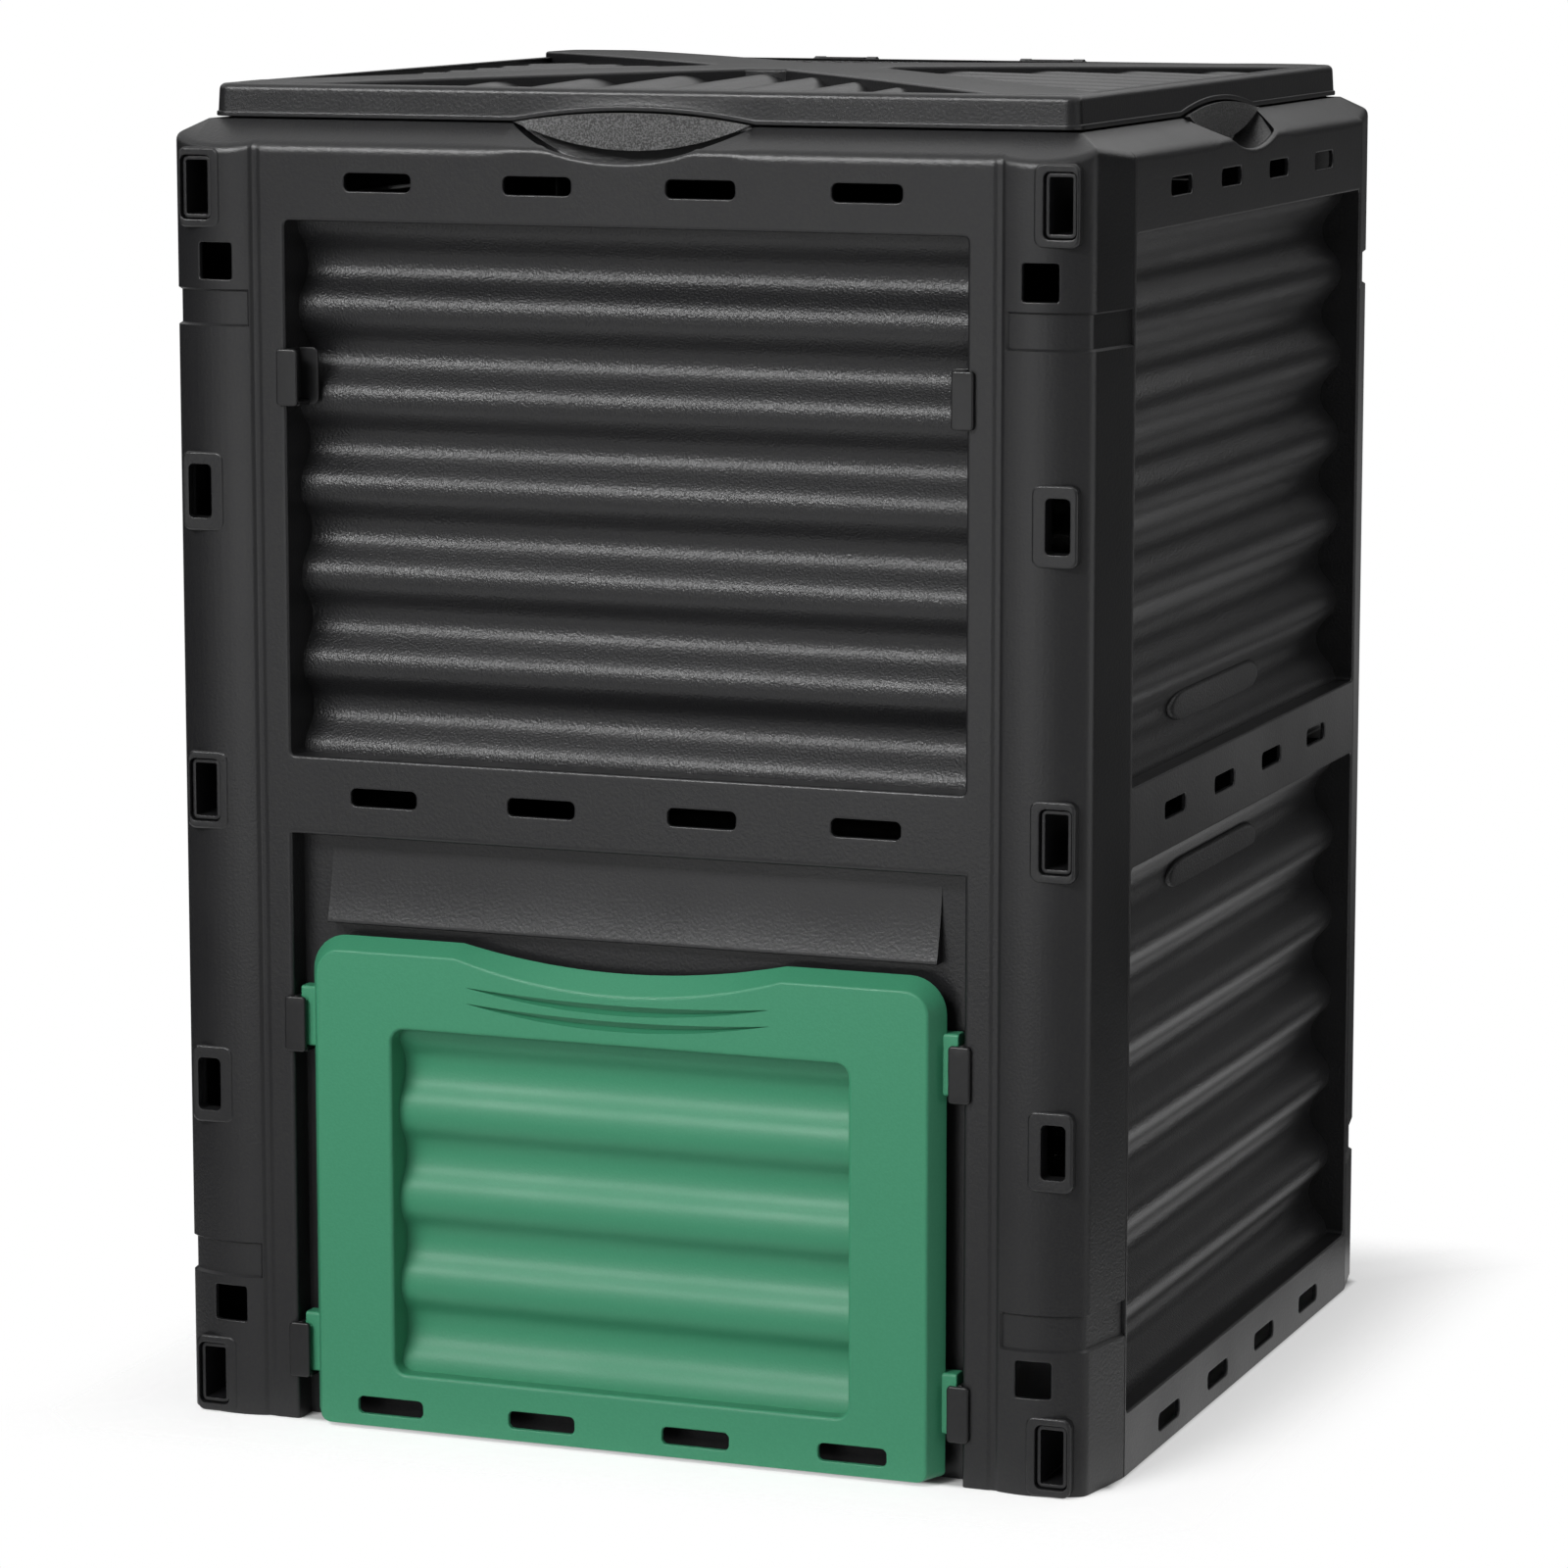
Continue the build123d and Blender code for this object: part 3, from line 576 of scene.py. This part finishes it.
# The rain hood over the door: a flared strip moulded on the front wall, which keeps rain out of the
# gap over the door. It is hollow-curved, and its lip stands forward of the recess.
hood_half, hood_high, hood_low, hood_back = 200, 363, 317.0, -284.5
hood_profile = [(363, -287.4), (340, -291.2), (318.5, -297.0)]  # heights and Y of its face
hood_lip = [(1.4, 0.0), (0.6, 0.3), (0.1, 1.0), (0, 1.8)]  # height over its foot, way back


def bar(x0, x1, upper, lower):
    """A section carried along X: two lines of Y and Z with the same number of points bound it."""
    section = np.concatenate([upper, lower[::-1], upper[:1]])
    ends = [np.column_stack([np.full(len(section), x), section]) for x in (x0, x1)]
    caps = [np.stack([np.column_stack([np.full(len(line), x), line]) for line in (upper, lower)])
            for x in (x0, x1)]
    return [(np.stack(ends), None), (caps[0], None), (caps[1], None)]


lip_rise, lip_back = np.transpose(hood_lip)
hood_face = np.linspace(hood_high, hood_low + 2.5, 16)
hood_z = np.concatenate([hood_face, hood_low + lip_rise])
hood_y = np.polyval(np.polyfit(*np.transpose(hood_profile), 2), hood_z)
hood_y += np.concatenate([np.zeros_like(hood_face), lip_back])
hood = bar(-hood_half, hood_half, np.column_stack([hood_y, hood_z]),
           np.column_stack([np.full_like(hood_z, hood_back), hood_z]))
weld("rain_hood", hood, black_plastic, "shell", ["front_panel"])


# The back wall: the same moulding without a doorway. A second wave panel and a row of vents take the
# door's place, and the ears of the lid's hinges stand on its shoulder.
hinge_x, hinge_y, hinge_z = 75, 291, 827
ear_radius, ear_foot, ear_offset, ear_half = 6.2, 797.0, 19, 3.5
back_s = lines(column_s, window_s, vent_s)
back_z = lines(column_z, window_z(*upper_window), window_z(*lower_window),
               vent_lines(vent_rows, vent_half_z))
lower_port = window_port(window_half, *lower_window, *window_style)
back_ports = column_ports() + vent_ports(vent_middles, vent_rows) + [upper_port, lower_port]
back = moulded_wall(plan, back_s, back_z, column_depth, back_ports, False) + pads()
back_waves = turned(upper_waves + wave_sheet(window_half, *lower_window, *front_waves), 180)
weld("back_waves", back_waves, rough_plastic, "shell", ["back_panel"])
round_end = np.linspace(0, np.pi / 2, 9)
ear_arc = np.column_stack([ear_radius * np.cos(round_end), hinge_z + ear_radius * np.sin(round_end)])
ear_side = np.concatenate([[[ear_radius, ear_foot]], ear_arc])
for side in (-hinge_x, hinge_x):
    for end in (-ear_offset, ear_offset):
        back += bar(side + end - ear_half, side + end + ear_half,
                    ear_side + [-hinge_y, 0], ear_side * [-1, 1] + [-hinge_y, 0])
weld("back_wall", turned(back, 180), black_plastic, "shell", ["back_panel"])


# The side walls: flat mouldings between the columns, with two wave panels as wide as the wall, a
# finger scoop and blank plaques. Hollow lugs on their edges snap into the slots of the columns.
side_edge, side_seam_edge = 249.7, 0.8
side_half, side_margin, side_window_edge = 246.7, 1.6, 1.2
side_form = (12, 13.5, 42.0, 6, face)  # recess, depth, flank, count and face
side_style = (window_corner, side_margin, side_window_edge, box_depth(*side_form[:3]))
plaque_heights, plaque_y, plaque_stretch = (447.0, 340.0), -283.2, 2.8
plaque_size = (35, 11, 11, 8, 3.0)  # half sizes before the stretch, corner, thickness, edge
lug_y = -277.5
lug_rows = [(9.5, 19, 3.5, 0), (9.5, 19, 3.5, 56), (9.2, 18.7, 3.2, 56.6), (8.7, 18.2, 2.7, 56.8),
            (7.6, 17.1, 1.6, 56.8), (7.2, 16.7, 1.2, 56.6), (7.0, 16.5, 1.0, 56.1),
            (7.0, 16.5, 1.0, 0), (9.5, 19, 3.5, 0)]  # out along a lug, and back along its inside
flat_run = np.array([-400.0, 400.0])  # past both ends of the wall
flat_plan = (flat_run, flat_run, np.full(2, face), np.zeros(2), np.ones(2))


def side_depth(s, z):
    """Depth of a side wall: its edges at the seams and at the ground are quarter circles."""
    return roll(side_edge - np.abs(s), side_seam_edge) + roll(z, foot_edge)


def slab(origin, across, up, axis, half_a, half_b, corner, length, radius):
    """A plate of rounded outline carried along an axis, the edges of both faces quarter circles."""
    least_corner = 0.05
    core = min(half_a, half_b)
    rows = [(half_a - core, half_b - core, 0, 0)]
    for t in np.linspace(0, np.pi / 2, 4):
        inset = radius * (1 - math.sin(t))
        rows.append((half_a - inset, half_b - inset, max(corner - inset, least_corner),
                     radius * (1 - math.cos(t))))
    rows += [(*row[:3], length - row[3]) for row in rows[::-1]]
    return rings(origin, across, up, axis, rows)


side_s = lines(both([*(side_half - np.array([6, 3.2, 0.7])), side_half + side_margin]),
               both(side_edge - np.array([side_seam_edge, 0.5, 0.2, 0])), vent_s, scoop_s)
side_lows, side_highs = np.transpose([lower_window, upper_window])
side_steps = np.array([6, 3.2, 0.8])
side_z = lines([0, 0.3, foot_edge], around([*lower_window, *upper_window], [side_margin]),
               vent_lines(vent_rows, vent_half_z), np.add.outer(side_lows, side_steps),
               np.subtract.outer(side_highs, side_steps))
side_ports, side_waves = vent_ports(vent_middles, vent_rows), []
for window in (upper_window, lower_window):
    side_ports.append(window_port(side_half, *window, *side_style))
    side_waves += wave_sheet(side_half, *window, *side_form)
side_wall = moulded_wall(flat_plan, side_s, side_z, side_depth, side_ports, True)
for h in plaque_heights:
    side_waves.append(slab((0, plaque_y, h), (plaque_stretch, 0, 0), z_axis, y_axis, *plaque_size))
for end in (-1, 1):
    for h in slot_heights[::2]:
        side_wall.append(rings((end * side_edge, lug_y, h), y_axis, z_axis, (end, 0, 0), lug_rows))
for kind, drawn, material in (("_wall", side_wall, black_plastic),
                              ("_waves", side_waves, rough_plastic)):
    for degrees, name in ((90, "right"), (-90, "left")):
        patches, nodes = turned(drawn, degrees), [name + "_panel"]
        weld(name + kind, patches, material, "shell", nodes)


# The lid: a black polypropylene moulding with a deep rim that sits on the ledge. Two slightly domed
# bands cross it from corner to corner over four ribbed fields, and the rim arches over the scoops.
lid_half, lid_corner, sharpest_corner, lid_straight = 280.0, 10, 1.5, 270
dome, dome_half, dome_power = 5.0, 266, 1.6
warp, warp_from, warp_over = 3.6, 90, 380
arch_radius, arch_rise = 438.1, 7
rim_top, rim_edge, rim_lean, border_width, border_edge = 832.3, 4, 1.85, 14, 1.6
rim_rows = [(3.0, 812.3, 1), (0.7, 812.3, 1), (0.2, 812.5, 1), (0, 813.0, 1), (0, 814.6, 1),
            (0.3, 815.2, 1), (1.0, 815.5, 1), (1.1, 816.2, 1), (1.7, 826.0, 0)]  # inset, height, arch
rim_groove = [(6.6, 832.3, 0), (7.1, 831.5, 0), (7.8, 831.5, 0), (8.3, 832.3, 0)]
rim_inside = [(14, 819.3, 0), (11, 819.3, 0), (11, 829.3, 0), (4.4, 829.3, 0), (3.0, 812.3, 1)]
field_half, field_edge, field_gap = 227, 267.5, 40
rib_top, rib_count, rib_depth, rib_flank = 829.3, 12, 7.0, 35.0
arm_half, arm_from, arm_to = 33.0, 52.5, 352
tip_reach, tip_blunt = 388, 8
hub_radius, hub_corner = 62, 32.2
band_top, band_edge, band_foot = 832.7, 2, 820.0
knuckle_radius, knuckle_root, knuckle_half = 5.8, 277.0, 15


def swell(x, y):
    """How far the lid's top rises over its border: by a power of the distance from the middle."""
    off = np.maximum(np.abs(x), np.abs(y)) / dome_half
    return dome * np.maximum(1 - off ** dome_power, 0)


def lift(x, y):
    """How far the back left band stands up over the border: a straight slope towards its tip."""
    return warp * np.clip((y - x - warp_from) / warp_over, 0, 1)


def four_turns(points):
    """Points in plan, and again after each of three quarter turns."""
    quarter = np.array([[0, 1], [-1, 0]])
    turns = [points]
    for k in range(3):
        turns.append(turns[-1] @ quarter)
    return np.concatenate(turns)


def lid_path(inset):
    """A square with quarter circles for corners, inset from the lid's edge, as a closed line.

    With it comes the distance from the middle of each side, which is infinite at the corners and
    along the back, where the rim has no arch.
    """
    corner = max(lid_corner - inset, sharpest_corner)
    reach = lid_half - inset - corner
    run = np.unique(both([*np.linspace(0, scoop_half, 20), 90, 150, 210, lid_straight]))
    along = run / lid_straight
    angle = np.linspace(0, np.pi / 2, 8)[1:-1]
    side = np.column_stack([along * reach, np.full(len(along), -lid_half + inset)])
    bend = np.column_stack([reach + corner * np.sin(angle), -reach - corner * np.cos(angle)])
    points = four_turns(np.concatenate([side, bend]))
    run = np.concatenate([along * lid_straight, np.full(len(bend), np.inf)])
    runs = np.concatenate([run, run, np.full(len(run), np.inf), run])
    return np.concatenate([points, points[:1]]), np.append(runs, runs[0])


quarter_turn = np.linspace(0, np.pi / 2, 6)
rim_rows += [(rim_lean + rim_edge * (1 - math.cos(t)),
              rim_top - rim_edge + rim_edge * math.sin(t), 0) for t in quarter_turn]
rim_rows += rim_groove
rim_rows += [(border_width - border_edge * math.cos(t),
              rim_top - border_edge + border_edge * math.sin(t), 0) for t in quarter_turn[::-1]]
rim_rows += rim_inside
rim = []
for inset, height, weight in rim_rows:
    path, run = lid_path(inset)
    bow = np.sqrt(arch_radius ** 2 - np.minimum(np.abs(run), scoop_half) ** 2)
    arch = np.where(np.abs(run) < scoop_half, bow - (arch_radius - arch_rise), 0)
    rim.append(np.column_stack([path, height + weight * arch]))
lid = [(np.stack(rim), None)]

field_x = np.linspace(-field_half, field_half, 185)
field_in = np.linspace(0, 1, 9)[:, None]
field_tip = np.minimum(np.abs(field_x) + field_gap, field_edge - 0.1)
field_y = -field_edge + field_in * (field_edge - field_tip)
ribs = rib_top - wave(field_x + dome_half, 2 * dome_half / rib_count, rib_depth, rib_flank)
field = grid_of(field_x, field_y, ribs + swell(field_x, field_y))
field = np.concatenate([field, field[::-1] - [0, 0, wall], field[:1]])
for degrees in (0, 90, 180, 270):
    lid += turned([(field, None)], degrees)

tip = np.linspace(-arm_half, arm_half, 15)
arm_side = np.linspace(arm_from, arm_to, 26)
arm_edge = np.full_like(arm_side, arm_half)
arm = np.concatenate([np.column_stack([arm_side, -arm_edge]),
                      np.column_stack([tip_reach - np.sqrt(tip ** 2 + tip_blunt ** 2), tip]),
                      np.column_stack([arm_side[::-1], arm_edge])])
hub_turn = np.radians(np.linspace(45 + hub_corner, 135 - hub_corner, 7))[1:-1]
hub = hub_radius * np.column_stack([np.cos(hub_turn), np.sin(hub_turn)])
diagonal = np.array([[1, 1], [-1, 1]]) / math.sqrt(2)
outline = four_turns(np.concatenate([arm @ diagonal, hub]))
tangent = np.roll(outline, -1, axis=0) - np.roll(outline, 1, axis=0)
normal = np.column_stack([tangent[:, 1], -tangent[:, 0]]) / np.linalg.norm(tangent, axis=1)[:, None]
top_edge, under_edge = outline - band_edge * normal, outline - wall * normal


def domed(points, height, over):
    """Points in plan at a height, raised as the bands are over other points in plan."""
    return np.column_stack([points, height + swell(*over.T) + lift(*over.T)])


bands = [domed(top_edge * f, band_top, top_edge * f) for f in np.linspace(0, 1, 13)]
bands += [domed(top_edge + band_edge * math.sin(t) * normal,
                band_top - band_edge * (1 - math.cos(t)), top_edge) for t in quarter_turn[1:]]
bands += [np.column_stack([line, np.full(len(line), band_foot)]) for line in (outline, under_edge)]
bands += [domed(under_edge * f, band_top - wall, under_edge * f) for f in np.linspace(1, 0, 13)]
bands = np.stack(bands)
lid.append((np.concatenate([bands, bands[:, :1]], axis=1), None))
knuckle_arc = np.column_stack([hinge_y + knuckle_radius * np.sin(round_end),
                               knuckle_radius * np.cos(round_end)])
knuckle = np.concatenate([[[knuckle_root, knuckle_radius]], knuckle_arc])
for middle in (-hinge_x, hinge_x):
    lid += bar(middle - knuckle_half, middle + knuckle_half,
               knuckle + [0, hinge_z], knuckle * [1, -1] + [0, hinge_z])
weld("lid", lid, black_plastic, "lid", ["lid"])


# The hinge pins: plain pins of the same black plastic, each with a flat head. They are pushed in
# from outside, through the ears and the lid's knuckles.
pin_rows = [(0, -24.5), (4.5, -24.5), (5, -24.0), (5, -22.5), (3, -22.5), (3, 22.5), (0, 22.5)]
for side, name in ((-1, "left"), (1, "right")):
    pin = rings((side * hinge_x, hinge_y, hinge_z), y_axis, z_axis, (-side, 0, 0),
                [(radius, radius, radius, along) for radius, along in pin_rows])
    weld("hinge_pin_" + name, [pin], black_plastic, "shell", ["hinge_pin_" + name])


# The harvest door: a green polypropylene moulding with bevelled edges, a wave panel and air vents. A
# dip in its top edge and two crescent grooves make the grip. Its lugs drop behind the hooks.
door_front, door_half, door_foot, door_top = -314.0, 199, 3, 302
top_corner, foot_corner = 14, 4.5
dip_half, dip_depth, dip_flare, dip_from = 107, 17, 5, 270
door_vents, door_vent_row = [-153.0, -51.0, 51.0, 153.0], 16.0
door_window = (150, 38, 256)  # half width, foot and top
door_corner, door_margin, door_edge = 8.0, 4.2, 2.5
door_steps = np.array([9, 6, 2.5, -door_margin])
door_waves = (11, 10.5, 42.0, 4, door_front)  # recess, depth, flank, count and face
groove_half, groove_depth, groove_tips = 100, 6.0, (276, 286)
# drop below the tips in the middle, and share of the depth
groove_rows = [(10.6, 0), (9.7, 0.5), (8.6, 0.95), (7.6, 1.0), (5.3, 1.0), (4.7, 0.85), (4.4, 0)]
skirt_rows = [(0, 0), (0.8, 0.15), (1.5, 0.6), (2.0, 1.4), (8.9, 13.4), (8.8, 13.8), (8.3, 14.0),
              (6.2, 14.0), (6.0, 13.0)]  # way out from the face's edge, and way back
skirt_reach = 8.9
hook_lows = (28, 236)
door_lug_x, door_lug_y, door_lug_rise = 203, -297, 22.3
door_lug_size = (6, 19, 2, 13, 1.0)  # half sizes, corner, length, edge

# The green polypropylene is duller than the black, so the light spreads evenly over its waves.
green_plastic = grained_plastic("green_polypropylene", "#36805f", "#398362", 0.46, 1.5, 0.12)


def door_place(s, z, d):
    """A point of the door's face, moved back by some depth."""
    return grid_of(s, door_front + d, z)


def bowl(x, half):
    """A parabola that is one in the middle, and zero from half on."""
    return np.maximum(1 - (x / half) ** 2, 0)


door_s = lines(both(door_window[0] - door_steps),
               both([185, 187.5, 190, 192.5, 194.5, 196.2, 197.5, 198.3, 198.8, door_half]),
               vent_lines(door_vents, vent_half_s), both(np.linspace(0, 96, 17)),
               both([98, 99.2, groove_half, 104, dip_half, 112]))
door_z = lines(vent_lines(door_vent_row, vent_half_z), door_window[1] + door_steps,
               door_window[2] - door_steps, [262])
flat = np.zeros_like(door_s)
top_in = np.clip(np.abs(door_s) - (door_half - top_corner), 0, top_corner)
foot_in = np.clip(np.abs(door_s) - (door_half - foot_corner), 0, foot_corner)
top_line = door_top - dip_depth * bowl(door_s, dip_half) - top_corner
top_line += np.sqrt(top_corner ** 2 - top_in ** 2)
foot_line = door_foot + foot_corner - np.sqrt(foot_corner ** 2 - foot_in ** 2)
groove = bowl(door_s, groove_half)
door_rows = [(foot_line, flat)] + [(np.full_like(door_s, h), flat) for h in door_z]
for tip_z in groove_tips:
    door_rows += [(tip_z - drop * groove, groove_depth * share * np.sqrt(groove))
                  for drop, share in groove_rows]
door_rows.append((top_line, flat))
door_heights, door_level = np.stack(door_rows, axis=-1)
door_outer = door_place(door_s[:, None], door_heights, door_level)
door_inner = door_place(door_s[:, None], door_heights, door_level + wall)
door_style = (door_corner, door_margin, door_edge, box_depth(*door_waves[:3]))
door_ports = vent_ports(door_vents, [door_vent_row])
door_ports.append(window_port(*door_window, *door_style))
door = pierced(door_outer, door_inner, door_s, door_heights[0], door_level, door_ports, door_place)
rim_line = border(door_outer)
ahead = np.concatenate([rim_line[1:], rim_line[1:2]]) - np.concatenate([rim_line[-2:-1], rim_line[:-1]])
still = np.zeros(len(rim_line))
outward = np.column_stack([ahead[:, 2], still, -ahead[:, 0]])
outward /= np.linalg.norm(outward, axis=1)[:, None] + 1e-9
outward[:, 2] = np.maximum(outward[:, 2], 0)
flare = np.where(rim_line[:, 2] > dip_from, dip_flare * bowl(rim_line[:, 0], dip_half), 0)
skirt = [rim_line + outward * grow + np.column_stack([still, still + depth, flare * grow / skirt_reach])
         for grow, depth in skirt_rows]
door.append((np.stack(skirt + [border(door_inner)]), None))
door += wave_sheet(*door_window, *door_waves)
for low in hook_lows:
    for end in (-1, 1):
        middle = (end * door_lug_x, door_lug_y, low + door_lug_rise)
        door.append(slab(middle, y_axis, z_axis, (end, 0, 0), *door_lug_size))
weld("door", door, green_plastic, "door", ["door"])


# The six hooks: small clips of dark polyamide, pegged to the recess walls by their back plates. The
# door hangs in the four lower ones, and in the upper two while the compost is taken out.
hook_plates = [  # middle, half sizes, corner, thickness and edge
    (218, -308.5, 17.5, 7, 17.5, 2.6, 3.5, 1.3),  # front plate
    (218.5, -305, 17.5, 1.5, 17.5, 0.8, 15, 0.4),  # web
    (215.5, -305, 1.5, 4.5, 1.5, 0.8, 15, 0.4),  # floor
    (212.5, -290.6, 17.5, 7.5, 17.5, 4, 2.0, 0.5),  # back plate
]
upper_hook_low = 638
hooks = {"lower_{}_bottom": hook_lows[0], "lower_{}_top": hook_lows[1], "upper_{}": upper_hook_low}

# Polyamide from a smoother tool gives the clips a darker face with narrower, brighter edges.
hook_plastic = grained_plastic("satin_polyamide", "#151516", "#19191a", 0.33, 3.0, 0.06)
for side, word in ((-1, "left"), (1, "right")):
    for name, low in hooks.items():
        hook = [slab((side * x, y, low + h), (side, 0, 0), z_axis, y_axis, *size)
                for x, y, h, *size in hook_plates]
        node = "hook_" + name.format(word)
        weld(node, hook, hook_plastic, "shell", [node])


# The stage: white paper under the bin that fades into a white backdrop, with a soft box in front and
# above, one over the lid and a low one that fills the front. A round screen of grey felt, seen only
# in reflections, shades the black plastic as flags do in a studio. Here sizes are in metres.
white = linear("#ffffff")
paper_half, paper_glow = 4, 0.51
shade_from, shade_to = 0.3, 0.307  # the paper glows only outside the bin's foot
fade_from, fade_to = 0.305, 0.42
corner_cut = 0.525  # turns the foot's square into one with cut corners
world_light = 0.2
screen_radius, screen_low, screen_high, screen_glow, screen_sides = 2.2, -0.5, 1.5, 2.3, 96
greys = {-180: 0.08, -90: 0.02, -62: 0.02, -45: 0.15, -33: 0.45, -22: 0.65, -13: 1.0, -3: 1.0,
         7: 0.3, 25: 0.2, 60: 0.4, 70: 0.9, 94: 0.9, 106: 0.06, 122: 0.03, 138: 0.04, 152: 0.16,
         165: 0.16, 180: 0.08}  # degrees to the right of the front
heights = {-0.5: 0.06, -0.1: 0.1, 0.1: 1.0, 0.4: 1.0, 0.6: 0.3, 0.95: 0.15, 1.5: 0.15}


def stage_piece(name, points, faces, material):
    """A thin piece of the stage, from its points and faces."""
    mesh = bpy.data.meshes.new(name)
    mesh.from_pydata(points, [], faces)
    mesh.materials.append(material)
    piece = bpy.data.objects.new(name, mesh)
    bpy.context.scene.collection.objects.link(piece)
    return piece


def shown(tree):
    """One where a ray shows the background: straight, in a reflection or through glass."""
    path = add(tree, "LightPath", {}).outputs
    shows = path["Is Camera Ray"]
    for kind in ("Is Glossy Ray", "Is Transmission Ray"):
        shows = add(tree, "Math", {0: shows, 1: path[kind]}, operation="MAXIMUM")
    return shows


# Matt paper takes a soft shadow round the foot, and its glow keeps the rest as white as the backdrop.
paper = blank_material("white_paper")
tree = paper.node_tree
spot = add(tree, "TexCoord", {}).outputs["Object"]
spot = add(tree, "VectorMath", {0: spot}, operation="ABSOLUTE")
axes = add(tree, "SeparateXYZ", {0: spot}).outputs
beside = add(tree, "Math", {0: axes["X"], 1: axes["Y"]}, operation="MAXIMUM")
cut = add(tree, "Math", {0: axes["X"], 1: axes["Y"]}, operation="ADD")
cut = add(tree, "Math", {0: cut, 1: corner_cut}, operation="MULTIPLY")
beside = add(tree, "Math", {0: beside, 1: cut}, operation="MAXIMUM")
outside = add(tree, "MapRange", {"Value": beside, "From Min": shade_from, "From Max": shade_to})
glow = add(tree, "Math", {0: shown(tree), 1: outside}, operation="MULTIPLY")
glow = add(tree, "Math", {0: glow, 1: paper_glow}, operation="MULTIPLY")
matt = add(tree, "BsdfDiffuse", {"Color": linear("#d9d9d9")})
lit = add(tree, "Emission", {"Color": white, "Strength": glow})
sheet = add(tree, "AddShader", {0: matt, 1: lit})
fade = add(tree, "MapRange", {"Value": beside, "From Min": fade_from, "From Max": fade_to},
           interpolation_type="SMOOTHSTEP")
mixed = add(tree, "MixShader", {0: fade, 1: sheet, 2: add(tree, "BsdfTransparent", {})})
add(tree, "OutputMaterial", {"Surface": mixed})
paper_corners = [(x * paper_half, y * paper_half, 0) for x, y in ((-1, -1), (1, -1), (1, 1), (-1, 1))]
card = stage_piece("floor", paper_corners, [(0, 1, 2, 3)], paper)

world = bpy.data.worlds.new("studio")
world.use_nodes = True
tree = world.node_tree
tree.nodes.clear()
strength = add(tree, "MapRange", {"Value": shown(tree), "To Min": world_light, "To Max": 1.0})
sky = add(tree, "Background", {"Color": white, "Strength": strength})
add(tree, "OutputWorld", {"Surface": sky})
bpy.context.scene.world = world

# The felt gives the black plastic bright and dark sides to mirror, and so shows its round columns.
felt = blank_material("grey_felt")
tree = felt.node_tree
axes = add(tree, "SeparateXYZ", {0: add(tree, "TexCoord", {}).outputs["Object"]}).outputs
ahead_of = add(tree, "Math", {0: axes["Y"], 1: -1.0}, operation="MULTIPLY")
bearing = add(tree, "Math", {0: axes["X"], 1: ahead_of}, operation="ARCTAN2")
screen_span = screen_high - screen_low
bearing_stops = [((degree + 180) / 360, grey) for degree, grey in greys.items()]
height_stops = [((height - screen_low) / screen_span, grey) for height, grey in heights.items()]
shades = []
for value, low, high, stops in ((bearing, -math.pi, math.pi, bearing_stops),
                                (axes["Z"], screen_low, screen_high, height_stops)):
    share = add(tree, "MapRange", {"Value": value, "From Min": low, "From Max": high})
    shades.append(add(tree, "ValToRGB", {"Fac": share}))
    ramp = shades[-1].color_ramp.elements
    while len(ramp) < len(stops):
        ramp.new(0.5)
    for stop, (position, grey) in zip(ramp, stops):
        stop.position = position
        stop.color = (grey, grey, grey, 1)
strength = add(tree, "Math", {0: shades[1], 1: screen_glow}, operation="MULTIPLY")
dim = add(tree, "Emission", {"Color": shades[0], "Strength": strength})
add(tree, "OutputMaterial", {"Surface": dim})
bearings = np.linspace(0, 2 * np.pi, screen_sides + 1)[:, None]
screen = grid_of(screen_radius * np.sin(bearings), -screen_radius * np.cos(bearings),
                 np.array([screen_low, screen_high]))
index = np.arange(2 * (screen_sides + 1)).reshape(-1, 2)
screen_faces = np.column_stack([index[:-1], index[1:, ::-1]])
ring = stage_piece("screen", screen.reshape(-1, 3).tolist(), screen_faces.tolist(), felt)
ring.visible_camera = ring.visible_shadow = False


def soft_box(name, place, target, size, power, spread):
    """A rectangular studio lamp that faces a point. Its spread is in degrees."""
    lamp = bpy.data.objects.new(name, bpy.data.lights.new(name, "AREA"))
    lamp.data.energy = power
    lamp.data.spread = math.radians(spread)
    lamp.data.shape = "RECTANGLE"
    lamp.data.size, lamp.data.size_y = size
    lamp.location = place
    toward = mathutils.Vector(target) - mathutils.Vector(place)
    lamp.rotation_euler = toward.to_track_quat("-Z", "Y").to_euler()
    bpy.context.scene.collection.objects.link(lamp)
    return lamp


gridded, bare = 50, 180
soft_box("front_box", (-0.85, -2.4, 2.0), (0, -0.3, 0.42), (1.5, 0.6), 6.0, gridded)
soft_box("top_box", (0.2, 0.6, 2.6), (0, 0.1, 0.8), (2.0, 2.0), 9, bare)
fill = soft_box("fill_box", (-0.5, -2.8, 0.8), (0, -0.3, 0.35), (1.2, 0.8), 17, bare)
fill.visible_glossy = False

camera_dip, camera_turn = 9.06, 20.85  # degrees below level, and to the right of the front
camera = bpy.data.objects.new("camera", bpy.data.cameras.new("camera"))
camera.location = (1.3217, -3.4977, 0.9672)
camera.rotation_euler = (math.radians(90 - camera_dip), 0, math.radians(camera_turn))
camera.data.lens = 133.0
bpy.context.scene.collection.objects.link(camera)
bpy.context.scene.camera = camera
bpy.context.scene.view_settings.view_transform = "Standard"
